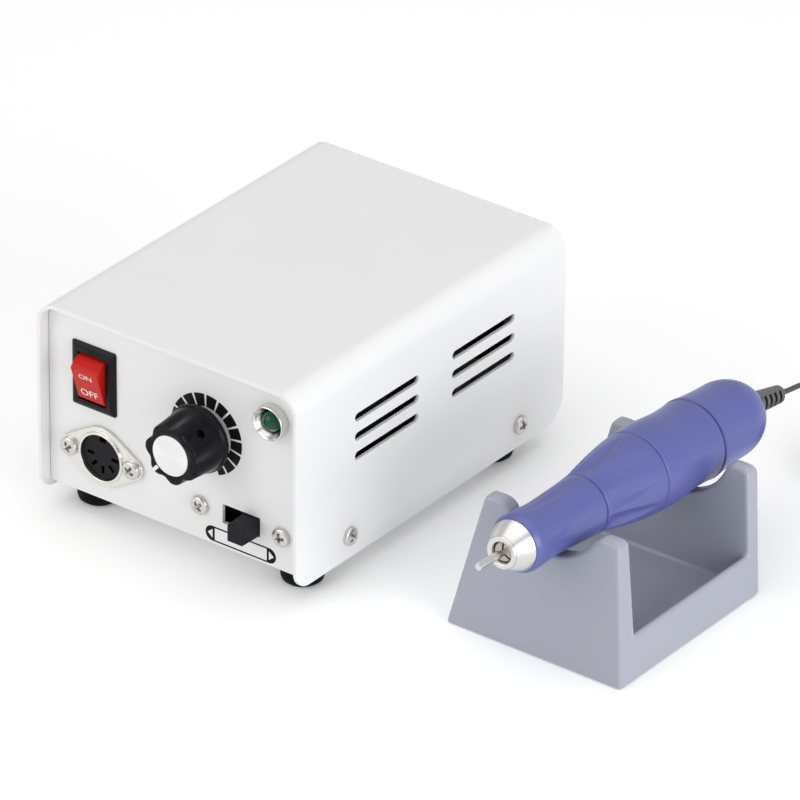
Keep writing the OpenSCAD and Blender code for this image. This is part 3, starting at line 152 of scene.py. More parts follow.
# %% [markdown]
# The world is white to the camera and through clear things, dimmer in mirrors, and dimmer again as a
# light on the object. The kind of ray tells these apart. One helper makes the arithmetic nodes, here
# and later on.

# %% White world
AMBIENT, MIRRORED = 0.48, 0.45


def math_node(tree, operation, *values):
    """A math node whose values are numbers or sockets."""
    node = tree.nodes.new("ShaderNodeMath")
    node.operation = operation
    for socket, value in zip(node.inputs, values):
        if isinstance(value, (int, float)):
            socket.default_value = value
        else:
            tree.links.new(value, socket)
    return node.outputs[0]


world = bpy.data.worlds.new("studio")
scene.world = world
world.use_nodes = True
sky = world.node_tree
rays = sky.nodes.new("ShaderNodeLightPath").outputs
in_mirror = math_node(sky, "MULTIPLY", rays["Is Glossy Ray"], MIRRORED)
in_view = math_node(sky, "MAXIMUM", rays["Is Camera Ray"], rays["Is Transmission Ray"])
level = sky.nodes.new("ShaderNodeMapRange")
level.inputs["To Min"].default_value = AMBIENT
sky.links.new(math_node(sky, "MAXIMUM", in_view, in_mirror), level.inputs["Value"])
shade = sky.nodes["Background"].inputs
shade["Color"].default_value = (1, 1, 1, 1)
sky.links.new(level.outputs["Result"], shade["Strength"])
print("nodes in the world:", len(sky.nodes))

# %% [markdown]
# The floor is a sheet of white studio paper. It glows faintly, so that it stays near white in the
# picture and still keeps the soft shadows under the feet.

# %% Floor
bpy.ops.mesh.primitive_plane_add(size=8, location=(0, 0, -0.0002))
floor = bpy.context.object
floor.name = "floor"
paper = bpy.data.materials.new("studio_paper")
paper.use_nodes = True
sheet = paper.node_tree.nodes["Principled BSDF"].inputs
sheet["Base Color"].default_value = (0.93, 0.93, 0.93, 1)
sheet["Roughness"].default_value = 0.9
sheet["Emission Color"].default_value = (1, 1, 1, 1)
sheet["Emission Strength"].default_value = 0.14
floor.data.materials.append(paper)
print("floor's size in metres:", floor.dimensions.x)

# %% [markdown]
# ## Finishes
# Every finish is a small procedural material. Two effects are shared, so they are node groups: a
# moulded or sprayed skin with slight colour drift and a fine grain, and a machined skin whose fine
# lines follow one direction. The groups give colours, roughness and heights, and each material keeps
# its own shader.

# %% Moulded skin
def new_group(name, inputs, outputs):
    """An empty shader group, with the sockets of its input and output."""
    tree = bpy.data.node_groups.new(name, "ShaderNodeTree")
    for label, kind, value in inputs:
        socket = tree.interface.new_socket(label, in_out="INPUT", socket_type=kind)
        if value is not None:
            socket.default_value = value
    for label, kind in outputs:
        tree.interface.new_socket(label, in_out="OUTPUT", socket_type=kind)
    return tree, tree.nodes.new("NodeGroupInput").outputs, tree.nodes.new("NodeGroupOutput").inputs


def noise(tree, source, scale, detail, dimensions="3D"):
    """A noise from 0 to 1 whose scale is a number or a socket."""
    node = tree.nodes.new("ShaderNodeTexNoise")
    node.noise_dimensions = dimensions
    node.inputs["Detail"].default_value = detail
    tree.links.new(source, node.inputs["W" if dimensions == "1D" else "Vector"])
    if isinstance(scale, (int, float)):
        node.inputs["Scale"].default_value = scale
    else:
        tree.links.new(scale, node.inputs["Scale"])
    return node.outputs["Fac"]


def scaled_color(tree, color, factor):
    """A colour made lighter or darker by a factor."""
    node = tree.nodes.new("ShaderNodeVectorMath")
    node.operation = "SCALE"
    tree.links.new(color, node.inputs[0])
    tree.links.new(factor, node.inputs["Scale"])
    return node.outputs[0]


CLOUD_SCALE = 45
SURFACE = [("Color", "NodeSocketColor"), ("Roughness", "NodeSocketFloat"), ("Height", "NodeSocketFloat")]
skin, given, result = new_group(
    "moulded_skin",
    [("Vector", "NodeSocketVector", None), ("Color", "NodeSocketColor", (0.5, 0.5, 0.5, 1)),
     ("Drift", "NodeSocketFloat", 0.05), ("Roughness", "NodeSocketFloat", 0.4),
     ("Roughness Drift", "NodeSocketFloat", 0.06), ("Grain Scale", "NodeSocketFloat", 2500.0)], SURFACE)
cloud = math_node(skin, "SUBTRACT", noise(skin, given["Vector"], CLOUD_SCALE, 4), 0.5)
tone = math_node(skin, "MULTIPLY_ADD", math_node(skin, "MULTIPLY", cloud, given["Drift"]), 2.0, 1.0)
gloss = math_node(skin, "MULTIPLY_ADD", cloud, given["Roughness Drift"], given["Roughness"])
skin.links.new(scaled_color(skin, given["Color"], tone), result["Color"])
skin.links.new(gloss, result["Roughness"])
skin.links.new(noise(skin, given["Vector"], given["Grain Scale"], 2), result["Height"])
print("nodes in the moulded skin:", len(skin.nodes))

# %% [markdown]
# A turning tool leaves fine lines round a part. A noise along one direction draws them, and the same
# noise varies tone, gloss and height together, so that the lines look cut and not painted.

# %% Machined skin
LINE_GLOSS, LINE_TONE = 0.18, 0.2
machined, given, result = new_group(
    "machined_skin",
    [("Vector", "NodeSocketVector", None), ("Color", "NodeSocketColor", (0.6, 0.6, 0.6, 1)),
     ("Roughness", "NodeSocketFloat", 0.25), ("Line Scale", "NodeSocketFloat", 4000.0)], SURFACE)
split = machined.nodes.new("ShaderNodeSeparateXYZ")
machined.links.new(given["Vector"], split.inputs[0])
stripes = noise(machined, split.outputs["Z"], given["Line Scale"], 3, "1D")
gloss = math_node(machined, "MULTIPLY_ADD", stripes, LINE_GLOSS, given["Roughness"])
tone = math_node(machined, "MULTIPLY_ADD", stripes, LINE_TONE, 1 - LINE_TONE / 2)
machined.links.new(scaled_color(machined, given["Color"], tone), result["Color"])
machined.links.new(gloss, result["Roughness"])
machined.links.new(stripes, result["Height"])
print("nodes in the machined skin:", len(machined.nodes))

# %% [markdown]
# A finish is one shader fed by one of the two skins. The pattern's place comes from the object's own
# coordinates. A rotation lays machined lines across a tilted part, and a centre turns them into rings.
# The two printing inks are the first finishes made this way.

# %% A shader on a skin
RELIEF = 0.00005


def finish(name, group, values, bump=0.0, metallic=0.0, specular=0.5, anisotropic=0.0,
           rotation=None, center=None):
    """A material with one shader, fed by a shared skin."""
    material = bpy.data.materials.new(name)
    material.use_nodes = True
    tree = material.node_tree
    surface = tree.nodes["Principled BSDF"].inputs
    source = tree.nodes.new("ShaderNodeTexCoord").outputs["Object"]
    if rotation is not None:
        mapping = tree.nodes.new("ShaderNodeMapping")
        mapping.inputs["Rotation"].default_value = rotation
        tree.links.new(source, mapping.inputs["Vector"])
        source = mapping.outputs[0]
    if center is not None:
        away = tree.nodes.new("ShaderNodeVectorMath")
        away.operation = "DISTANCE"
        away.inputs[1].default_value = center
        radial = tree.nodes.new("ShaderNodeCombineXYZ")
        tree.links.new(source, away.inputs[0])
        tree.links.new(away.outputs["Value"], radial.inputs["Z"])
        source = radial.outputs[0]
    effect = tree.nodes.new("ShaderNodeGroup")
    effect.node_tree = group
    tree.links.new(source, effect.inputs["Vector"])
    for label, value in values.items():
        effect.inputs[label].default_value = value
    tree.links.new(effect.outputs["Color"], surface["Base Color"])
    tree.links.new(effect.outputs["Roughness"], surface["Roughness"])
    surface["Metallic"].default_value = metallic
    surface["Specular IOR Level"].default_value = specular
    surface["Anisotropic"].default_value = anisotropic
    if bump:
        relief = tree.nodes.new("ShaderNodeBump")
        relief.inputs["Strength"].default_value = bump
        relief.inputs["Distance"].default_value = RELIEF
        tree.links.new(effect.outputs["Height"], relief.inputs["Height"])
        tree.links.new(relief.outputs["Normal"], surface["Normal"])
    return material


def plastic(name, color, roughness, drift=0.04, grain=2500.0, bump=0.15, specular=0.5):
    """A moulded, sprayed or printed surface."""
    values = {"Color": (*color, 1), "Drift": drift, "Roughness": roughness, "Grain Scale": grain}
    return finish(name, skin, values, bump=bump, specular=specular)


black_ink = plastic("black_screen_print", (0.006, 0.006, 0.006), 0.5, drift=0.1, bump=0.05, specular=0.1)
white_ink = plastic("white_screen_print", (0.78, 0.78, 0.78), 0.5, drift=0.05, bump=0.05)
print("inks:", black_ink.name, white_ink.name)

# %% [markdown]
# The box is stove-enamelled white, the switches and the knob are black or red mouldings, the handpiece
# is blue, and feet, boot and lead are rubber. Black goods need a very dark colour and a weak highlight,
# or the white studio washes them out.

# %% Paints, plastics and rubbers
look = {
    "box_paint": plastic("white_stoving_paint", (0.80, 0.80, 0.80), 0.34, drift=0.015, grain=900,
                         bump=0.12, specular=0.4),
    "foot_rubber": plastic("black_rubber", (0.005, 0.005, 0.006), 0.6, drift=0.15, bump=0.3, specular=0.08),
    "black_plastic": plastic("black_moulding", (0.008, 0.008, 0.010), 0.36, drift=0.1, specular=0.14),
    "red_plastic": plastic("red_moulding", (0.52, 0.008, 0.003), 0.28, drift=0.06, bump=0.05, specular=0.2),
    "knob_black": plastic("knob_moulding", (0.004, 0.004, 0.005), 0.26, drift=0.1, specular=0.14),
    "green_lens": plastic("green_lamp_lens", (0.002, 0.066, 0.030), 0.04, drift=0.2, bump=0.0,
                          specular=0.3),
    "core_steel": plastic("varnished_laminations", (0.12, 0.12, 0.13), 0.5),
    "board_green": plastic("solder_mask", (0.02, 0.14, 0.06), 0.4),
    # The can's sleeve is dark blue, darkened further to near black as painted shade for the inside of the
    # box seen through the vents.
    "can_blue": plastic("sleeved_can_painted_shade", (0.008, 0.010, 0.03), 0.4, specular=0.2),
    "cradle_grey": plastic("grey_cradle_moulding", (0.335, 0.35, 0.41), 0.26, bump=0.06),
    "handpiece_blue": plastic("blue_handpiece_moulding", (0.086, 0.101, 0.322), 0.36, bump=0.12,
                              specular=0.6),
    "magnet": plastic("sintered_magnet", (0.05, 0.05, 0.055), 0.6),
    "boot_grey": plastic("boot_rubber", (0.105, 0.105, 0.113), 0.45, drift=0.1, specular=0.4),
    "cord_grey": plastic("lead_sheath", (0.07, 0.07, 0.077), 0.45, drift=0.1, specular=0.25),
}
print("paints, plastics and rubbers:", ", ".join(look))

# %% [markdown]
# Screws are zinc plated, the socket is nickel, and the handpiece ends in turned steel whose lines run
# round its tilted nose. The knob's cap is spun: its rings come from the distance to its middle, and a
# radial tangent stretches the highlight into the fan of light that spun metal shows.

# %% Metals
def metal(name, color, roughness, lines=4000.0, bump=0.05, rotation=None, center=None, anisotropic=0.0):
    """A turned, drawn or plated metal."""
    values = {"Color": (*color, 1), "Roughness": roughness, "Line Scale": lines}
    return finish(name, machined, values, bump=bump, metallic=1.0, rotation=rotation, center=center,
                  anisotropic=anisotropic)


look |= {
    "screw_steel": metal("zinc_plated_steel", (0.62, 0.61, 0.59), 0.2),
    "brass": metal("brass_contacts", (0.72, 0.52, 0.22), 0.25),
    "nickel": metal("bright_nickel", (0.74, 0.72, 0.68), 0.16, bump=0.02),
    "spun_cap": metal("spun_aluminium", (0.80, 0.80, 0.80), 0.28, center=KNOB[0] + OUT * 17.0 * MM,
                      anisotropic=0.7),
    "copper": metal("enamelled_copper", (0.55, 0.24, 0.10), 0.35),
    "aluminium": metal("aluminium", (0.78, 0.78, 0.79), 0.3),
    "nose_steel": metal("turned_steel", (0.66, 0.655, 0.65), 0.17, lines=9000, bump=0.03,
                        rotation=(math.radians(93), 0, 0)),
    "dark_collet": metal("burnished_collet", (0.46, 0.41, 0.37), 0.28),
}
lamp_chrome = metal("lamp_chrome", (0.70, 0.69, 0.68), 0.07, bump=0.0)
black_steel = metal("blackened_steel", (0.03, 0.03, 0.032), 0.35)
spun = look["spun_cap"].node_tree
fan = spun.nodes.new("ShaderNodeTangent")
fan.direction_type = "RADIAL"
fan.axis = "Y"
spun.links.new(fan.outputs[0], spun.nodes["Principled BSDF"].inputs["Tangent"])

for node, slot in slot_of.items():
    solid = frame["nodes"][node]
    solid.data.materials.clear()
    solid.data.materials.append(look[slot])
frame["nodes"]["knob_set_screw"].data.materials[0] = black_steel
print("slots with a finish:", len(look))

# %% [markdown]
# ## The lead
# The lead leaves the boot, sags to the table and is stored as a tied coil with its plug beside it.
# Its first stretch is a smooth curve through chosen points, and the coil's turns come from a formula,
# in and out again over four layers. The engineering model uses the same points and turns.

# %% Route of the lead
CORD = 1.6 * MM
PITCH, TURNS, LAYERS = 2.1, 5, 4
STEPS_A_TURN = 40
COIL = Vector((86.0, 100.0, 1.7))
COIL_R = 5.4
EDGE_R = COIL_R + (TURNS - 1) * PITCH + PITCH / 2
sag_points = [(67, 88.2, 30.6), (67.2, 92, 29), (67.5, 95.4, 26.5), (67.9, 98.4, 23.2), (68.4, 101, 19.6),
              (69, 103.2, 15.9), (69.8, 105.2, 12.3), (70.8, 107.2, 9), (72.1, 109.2, 6), (74, 111.2, 3.7),
              (76.4, 112.8, 2.3), (79, 113.7, 1.8)]


def coil_point(turn):
    """A place in the coil after a number of turns; the layers run inward and outward in turn."""
    layer = min(int(turn // TURNS), LAYERS - 1)
    part = turn / TURNS - layer
    out = 1 - part if layer % 2 == 0 else part
    radius = COIL_R - PITCH / 2 + out * TURNS * PITCH
    nearest = round(turn / TURNS)
    past = turn - nearest * TURNS
    climb = layer if nearest in (0, LAYERS) else nearest - 1 + min(1.0, max(0.0, 2 * past + 0.5))
    angle = math.radians(90 - 360 * turn)
    return (COIL + Vector((radius * math.cos(angle), radius * math.sin(angle), climb * PITCH))) * MM


def spline(points, steps):
    """Smooth points through the given ones (Catmull-Rom)."""
    ends = [2 * points[0] - points[1], *points, 2 * points[-1] - points[-2]]
    smooth = []
    for a, b, c, d in zip(ends, ends[1:], ends[2:], ends[3:]):
        for i in range(steps):
            t = i / steps
            smooth.append(0.5 * (2 * b + (c - a) * t + (2 * a - 5 * b + 4 * c - d) * t * t
                                 + (3 * b - a - 3 * c + d) * t ** 3))
    return smooth + [points[-1]]


coil_start = (COIL + Vector((-3, EDGE_R, 0))) * MM
coil_end = (COIL + Vector((3, EDGE_R, (LAYERS - 1) * PITCH))) * MM
first_points = [BOOT_TIP + BOOT[1] * away * MM for away in (0.03, 4)]
first_points += [Vector(point) * MM for point in sag_points]
first_points += [coil_start - SIDE * 2.5 * MM, coil_start]
coil_turns = [coil_point(i / STEPS_A_TURN) for i in range(TURNS * LAYERS * STEPS_A_TURN + 1)]
route = spline(first_points, 4) + coil_turns + [coil_end - SIDE * 1.5 * MM, coil_end]

# %% [markdown]
# The lead is one round tube: a ring of points is carried along the route without twisting.

# %% Sweep the lead
def add_piece(name, mesh):
    """Put a mesh into the scene as a piece at the origin."""
    piece = bpy.data.objects.new(name, mesh)
    scene.collection.objects.link(piece)
    return piece


def closed_piece(name, verts, faces, sharp=35):
    """A piece from points and faces, its faces turned outward and smooth up to an angle."""
    mesh = bpy.data.meshes.new(name)
    mesh.from_pydata([tuple(v) for v in verts], [], faces)
    shell = bmesh.new()
    shell.from_mesh(mesh)
    bmesh.ops.recalc_face_normals(shell, faces=shell.faces)
    shell.to_mesh(mesh)
    shell.free()
    mesh.shade_smooth()
    mesh.set_sharp_from_angle(angle=math.radians(sharp))
    return add_piece(name, mesh)


def sweep(name, points, radius, sides):
    """A closed tube along the points, its rings carried forward without twisting."""
    across = (points[1] - points[0]).orthogonal().normalized()
    verts, faces = [], []
    for i, point in enumerate(points):
        ahead = (points[min(i + 1, len(points) - 1)] - points[max(i - 1, 0)]).normalized()
        across = (across - ahead * across.dot(ahead)).normalized()
        lift = ahead.cross(across)
        for k in range(sides):
            turn = 2 * math.pi * k / sides
            verts.append(point + radius * (across * math.cos(turn) + lift * math.sin(turn)))
    for i in range(len(points) - 1):
        for k in range(sides):
            a, b = i * sides + k, i * sides + (k + 1) % sides
            faces.append((a, b, b + sides, a + sides))
    faces.append(tuple(range(sides)))
    faces.append(tuple(range(len(verts) - sides, len(verts))))
    return closed_piece(name, verts, faces)


lead = sweep("handpiece_lead", route, CORD / 2, 12)
lead.data.materials.append(look["cord_grey"])
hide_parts("cord_lead", "cord_coil")
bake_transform(lead)
print(lead.name, "has", len(lead.data.polygons), "faces")

# %% [markdown]
# ## Nose ring of the handpiece
# The handpiece ends in a steel ring with a rounded lip and a swelling cone. A lathe makes it by
# turning a profile round the handpiece's line, so it is made that way here: a closed outline is
# turned round a line, and a cut may sink the skin where a piece has hollows. A rebuilt piece takes
# the body of the solid it stands for and the finish of its slot.

# %% Turned nose ring
def adds_to(piece, body, material):
    """Give a piece its body and material."""
    piece.data.materials.clear()
    piece.data.materials.append(material)
    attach(piece, body)
    print(piece.name, "rides on", body, "with", len(piece.data.polygons), "faces")


def stands_for(piece, node, material=None):
    """Let a rebuilt piece take over from a solid, with its body and the finish of its slot."""
    slot = slot_of[node]
    adds_to(piece, body_of[node], material or look[slot])
    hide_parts(node)


def ring_faces(rings, sides):
    """Faces between rings of points, the last ring joined to the first."""
    return [(i * sides + k, i * sides + (k + 1) % sides,
             (i + 1) % rings * sides + (k + 1) % sides, (i + 1) % rings * sides + k)
            for i in range(rings) for k in range(sides)]


def turned(name, line, outline, sides, cut=None, sharp=35):
    """Turn a closed outline of (length, radius) pairs in millimetres round a line.
    cut(length, radius, angle) gives how deep the surface lies below that radius."""
    start, along, side, top = line
    verts = []
    for s, r in outline:
        for k in range(sides):
            a = 2 * math.pi * k / sides
            deep = cut(s, r, a) if cut else 0.0
            verts.append(start + (along * s + (side * math.cos(a) + top * math.sin(a)) * (r - deep)) * MM)
    return closed_piece(name, verts, ring_faces(len(outline), sides), sharp)


def spaced(start, end, steps):
    """Even steps from a start to an end, both included."""
    return [start + (end - start) * i / steps for i in range(steps + 1)]


def mix(a, b, t):
    return a + (b - a) * t


lip = [(0.5, 3.35), (0.2, 3.45), (0.05, 3.65), (0.0, 3.9), (0.0, 4.6), (0.12, 4.92), (0.4, 5.08),
       (0.75, 5.08), (0.92, 5.0)]
cone = [(mix(1.0, 5.8, t), 4.95 + 2.95 * (0.6 * t + 0.4 * math.sin(math.pi / 2 * t)))
        for t in spaced(0.0, 1.0, 16)]
seat = [(5.9, 7.94), (6.15, 7.98), (6.2, 7.9), (6.2, 6.48), (12.0, 6.48), (12.0, 3.35)]
stands_for(turned("nose_ring_shell", HANDPIECE, lip + cone + seat, 128), "nose_ring")

# %% [markdown]
# ## Sleeves of the handpiece
# The grip is moulded in four sleeves with thin dark seams between them. Their radius follows the
# engineering model: a rounded lip and slim waist at the nose, a flare up to the chuck ring's rear, a
# nearly straight body and a domed cap. The edges at the seams are eased, so that they catch shade.

# %% Profiles of the sleeves
SEAMS = (39.0, 64.2, 92.3)
SEAM_GAP = 0.15
NOSE_START, LIP_END, WAIST = 6.3, 8.5, 19.0
CAP_START, SHOULDER, DOME_L = SEAMS[2] + 2 * SEAM_GAP, 109.0, 14.1
EASED_EDGE = [(0.0, 0.6), (0.08, 0.3), (0.26, 0.09), (0.55, 0.0)]
EDGE_L = 0.8


def ease(t):
    """A smooth step from 0 to 1."""
    t = min(1.0, max(0.0, t))
    return t * t * (3 - 2 * t)


def nose_radius(s):
    if s < LIP_END:
        return mix(8.2, 9.0, math.sin(math.pi / 2 * (s - NOSE_START) / (LIP_END - NOSE_START)))
    if s < WAIST:
        return mix(9.0, 8.5, ease((s - LIP_END) / (WAIST - LIP_END)))
    return mix(8.5, 9.3, ease((s - WAIST) / (SEAMS[0] - WAIST)))


def ring_radius(s):
    return mix(9.3, 13.0, 1 - (1 - (s - SEAMS[0]) / (SEAMS[1] - SEAMS[0])) ** 1.4)


def body_radius(s):
    t = (s - SEAMS[1]) / (SEAMS[2] - SEAMS[1])
    return mix(13.0, 12.8, t) + 0.35 * math.sin(2 * math.pi * t)


def cap_radius(s):
    if s < SHOULDER:
        return 12.0 + 1.05 * (1 - (s - SEAMS[2]) / (SHOULDER - SEAMS[2])) ** 2
    return 12.0 * math.sqrt(max(0.0, 1 - ((s - SHOULDER) / DOME_L) ** 2))


def sleeve(radius, start, end, steps, ease_start=True, ease_end=True):
    """Outer profile of a sleeve with its edges at the seams eased."""
    first, last = [(start, radius(start))], [(end, radius(end))]
    if ease_start:
        first = [(start + s, radius(start + s) - deep) for s, deep in EASED_EDGE]
    if ease_end:
        last = [(end - s, radius(end - s) - deep) for s, deep in reversed(EASED_EDGE)]
    return first + [(s, radius(s)) for s in spaced(start + EDGE_L, end - EDGE_L, steps)] + last


print("radius at the seams:", [round(radius(s), 2) for radius, s in zip((ring_radius, body_radius), SEAMS)])

# %% [markdown]
# The chuck ring has nine leaf-shaped finger hollows that start wide behind the front seam and run to a
# point, and the nose sleeve has faint long flats of the same kind. One rule gives both: a leaf's width
# shrinks toward its point, and its floor is a shallow arch. The inside of each sleeve keeps its bore.

# %% Turned sleeves
LEAVES = 9


def nearest_turn(angle, first, count):
    """Angle to the nearest of several equal steps round a circle."""
    step = 2 * math.pi / count
    return abs((angle - first + step / 2) % step - step / 2)


def leaf(t, angle, first, half, depth, peak):
    """Depth of the leaf-shaped hollows: t runs from the wide end to the point."""
    if not 0 < t < 1:
        return 0.0
    wide = half * (1 - t) ** 0.6
    across = nearest_turn(angle, first, LEAVES) / wide
    return depth * math.sin(math.pi * t ** peak) * (1 - across * across) if across < 1 else 0.0


def nose_cut(s, r, a):
    return leaf((38.0 - s) / 26.0, a, 0.2, math.radians(17), 0.4, 0.8) if r > 8.2 else 0.0


def ring_cut(s, r, a):
    return leaf((s - SEAMS[0] - EDGE_L) / 21.0, a, 0.35, math.radians(19), 1.25, 0.6) if r > 8.6 else 0.0


ring_ends = (SEAMS[0] + SEAM_GAP, SEAMS[1] - SEAM_GAP)
nose_shell = sleeve(nose_radius, NOSE_START, SEAMS[0], 44, ease_start=False)
nose_shell += [(SEAMS[0], 8.0), (67.2, 8.0), (67.2, 6.5), (NOSE_START, 6.5)]
ring_shell = sleeve(ring_radius, *ring_ends, 44) + [(ring_ends[1], 8.05), (ring_ends[0], 8.05)]
body_shell = sleeve(body_radius, SEAMS[1], SEAMS[2], 30)
body_shell += [(SEAMS[2], 11.1), (67.7, 11.1), (67.7, 8.02), (SEAMS[1], 8.02)]
stands_for(turned("nose_sleeve_shell", HANDPIECE, nose_shell, 144, nose_cut), "nose_sleeve")
stands_for(turned("chuck_ring_shell", HANDPIECE, ring_shell, 216, ring_cut), "chuck_ring")
stands_for(turned("body_sleeve_shell", HANDPIECE, body_shell, 128), "body_sleeve")

# %% [markdown]
# The rear cap closes the handpiece with a quarter of an ellipse. Its steps are set by a sine, so that
# they crowd where the dome turns down. Inside it is hollow, with a hole for the lead at its end.

# %% Rear cap
cap_shell = sleeve(cap_radius, CAP_START, SHOULDER, 12, ease_end=False)
for t in spaced(0.0, 1.0, 24)[1:]:
    s = mix(SHOULDER, HANDPIECE_L, math.sin(math.pi / 2 * t))
    cap_shell.append((s, cap_radius(s)))
cap_shell += [(HANDPIECE_L, 2.0), (120.7, 2.0), (119.5, 5.6), (115.0, 8.6), (107.5, 10.2), (98.4, 9.9),
              (98.0, 11.1), (CAP_START, 11.1)]
stands_for(turned("rear_cap_shell", HANDPIECE, cap_shell, 128), "rear_cap")

# %% [markdown]
# ## Boot of the lead
# The boot keeps the lead from kinking where it leaves the handpiece. It is a soft moulding with five
# ribs and gaps cut deep on both sides, while a spine along the top and one below hold the ribs
# together. The ribs are one turned piece with cuts, and a black core stands just above the floor of
# the gaps as painted shade, so that the gaps look black.

# %% Ribbed boot
FOOT, COLLAR, TAIL = 0.59, 1.2, 1.4
RIBS = 5
RIB_PITCH = (BOOT_L - FOOT - COLLAR - TAIL) / RIBS
FOOT_R, TIP_R = 3.5, 2.73
GAP_DEPTH, SHADE_CORE_DEPTH = 0.95, 0.42
SPINE_HALF = math.radians(38)


def boot_radius(s):
    return mix(FOOT_R, TIP_R, min(1.0, max(0.0, (s - FOOT - COLLAR) / (RIBS * RIB_PITCH))))


def rib_gap(s, r, a):
    """Depth of the gaps between the ribs, which stop at a spine along the top and one below."""
    share = (s - FOOT - COLLAR) / RIB_PITCH
    if r < 2.0 or not 0 < share < RIBS:
        return 0.0
    past_rib = ease((abs(share % 1 - 0.5) - 0.22) / 0.04)
    past_spine = ease((nearest_turn(a, math.pi / 2, 2) - SPINE_HALF) / math.radians(5))
    return GAP_DEPTH * past_rib * past_spine


ribs = [(FOOT, 0.02), (FOOT, 3.3), (FOOT + 0.2, FOOT_R), (FOOT + 1.0, FOOT_R), (FOOT + COLLAR, 3.45)]
for i in range(RIBS):
    for share in (0.2, 0.24, 0.27, 0.34, 0.66, 0.73, 0.76, 0.8):
        s = FOOT + COLLAR + (i + share) * RIB_PITCH
        ribs.append((s, boot_radius(s)))
ribs += [(15.5, 1.75), (15.9, 1.4), (BOOT_L, 1.35), (BOOT_L, 0.02)]
stands_for(turned("boot_ribs", BOOT, ribs, 96, rib_gap), "cord_boot")
# The core is painted shade: black rubber set just under the ribs' tops fills the gaps, where there would
# only be shade.
shade_core_steps = spaced(FOOT + 0.8, FOOT + COLLAR + (RIBS - 0.5) * RIB_PITCH, 12)
shade_core = [(s, boot_radius(s) - SHADE_CORE_DEPTH) for s in shade_core_steps]
shade_core = [(shade_core_steps[0], 0.5)] + shade_core + [(shade_core_steps[-1], 0.5)]
adds_to(turned("boot_core", BOOT, shade_core, 48), "handpiece", look["foot_rubber"])

# %% [markdown]
# ## Cradle
# The cradle is one thick moulding whose edges are all rounded by the mould. The engineering solid has
# the right planes but sharp edges, so a copy is remeshed into even cells and relaxed: the corners sink
# into soft radii and the planes stay put.

# %% Soft-edged cradle
def copy_of(node, name):
    """A copy of a solid's mesh with its split corners joined and its flat faces made whole."""
    shell = bmesh.new()
    shell.from_mesh(frame["nodes"][node].data)
    bmesh.ops.remove_doubles(shell, verts=shell.verts, dist=1e-6)
    bmesh.ops.dissolve_limit(shell, angle_limit=math.radians(1.0), verts=shell.verts, edges=shell.edges)
    mesh = bpy.data.meshes.new(name)
    shell.to_mesh(mesh)
    shell.free()
    return add_piece(name, mesh)


def plain_mesh(piece):
    """The mesh that a piece's modifiers, or its curve, come to."""
    return bpy.data.meshes.new_from_object(piece.evaluated_get(bpy.context.evaluated_depsgraph_get()))


def applied(piece):
    """Replace a piece's mesh by what its modifiers make of it, and drop the modifiers."""
    made = plain_mesh(piece)
    piece.modifiers.clear()
    piece.data = made
    return piece


def keep_flats(piece):
    """Let large faces set the shading, so planes stay flat up to their rounded edges."""
    weights = piece.modifiers.new("flats", "WEIGHTED_NORMAL")
    weights.mode = "FACE_AREA_WITH_ANGLE"
    weights.weight = 100


cradle = copy_of("cradle", "cradle_moulding")
remesh = cradle.modifiers.new("cells", "REMESH")
remesh.mode = "VOXEL"
remesh.voxel_size = 0.33 * MM
remesh.use_smooth_shade = True
relax = cradle.modifiers.new("relax", "SMOOTH")
relax.factor = 0.5
relax.iterations = 50
thin = cradle.modifiers.new("thin", "DECIMATE")
thin.ratio = 0.18
keep_flats(cradle)
stands_for(applied(cradle), "cradle")

# %% [markdown]
# ## Folded, pressed and moulded edges
# Paint rounds the folded cover's edges, and mouldings never have a knife edge. A narrow bevel on a
# copy of these solids gives each edge the thin highlight that the eye looks for.

# %% Eased edges
EASED = {"top_cover": 0.35, "switch_bezel": 0.2, "rocker": 0.35, "socket_flange": 0.4, "slide_button": 0.45}
for node, width in EASED.items():
    piece = copy_of(node, node + "_eased")
    piece.data.shade_smooth()
    edge = piece.modifiers.new("edge", "BEVEL")
    edge.width = width * MM
    edge.segments = 2
    edge.limit_method = "ANGLE"
    edge.angle_limit = math.radians(40)
    edge.harden_normals = True
    keep_flats(piece)
    stands_for(applied(piece), node)

# %% [markdown]
# ## Speed knob
# The knob is a moulding with a skirt and a tapered grip. Seven finger flutes make its outline lobed;
# they are deep at the face and run out above the skirt. Carving each flute with a cutter would leave
# hard edges, so the turned form is made first and a geometry tree then pushes its skin inward by a
# cosine of the angle.
#
# The tree takes the angle and height of each point about the knob's middle. A wave of the angle says
# where a flute is, and a rise with the height says how deep it has become. The flutes' count, phase,
# depth, start and reach are the tree's inputs, and points inside the inner radius stay put.

# %% Wave and rise of the flutes
def geometry_tree(name, inputs):
    """An empty geometry tree, with the sockets of its input and output."""
    tree = bpy.data.node_groups.new(name, "GeometryNodeTree")
    tree.interface.new_socket("Geometry", in_out="INPUT", socket_type="NodeSocketGeometry")
    for label, kind in inputs:
        tree.interface.new_socket(label, in_out="INPUT", socket_type=kind)
    tree.interface.new_socket("Geometry", in_out="OUTPUT", socket_type="NodeSocketGeometry")
    return tree, tree.nodes.new("NodeGroupInput").outputs, tree.nodes.new("NodeGroupOutput").inputs


def vector_node(tree, operation, *values):
    """A vector math node whose first inputs are sockets."""
    node = tree.nodes.new("ShaderNodeVectorMath")
    node.operation = operation
    for socket, value in zip(node.inputs, values):
        tree.links.new(value, socket)
    return node


def map_range(tree, value, start, reach, top, interpolation):
    """A rise from 0 to a top, as a value runs from a start over a reach."""
    node = tree.nodes.new("ShaderNodeMapRange")
    node.interpolation_type = interpolation
    node.inputs["To Max"].default_value = top
    tree.links.new(value, node.inputs["Value"])
    tree.links.new(start, node.inputs["From Min"])
    tree.links.new(math_node(tree, "ADD", start, reach), node.inputs["From Max"])
    return node.outputs["Result"]


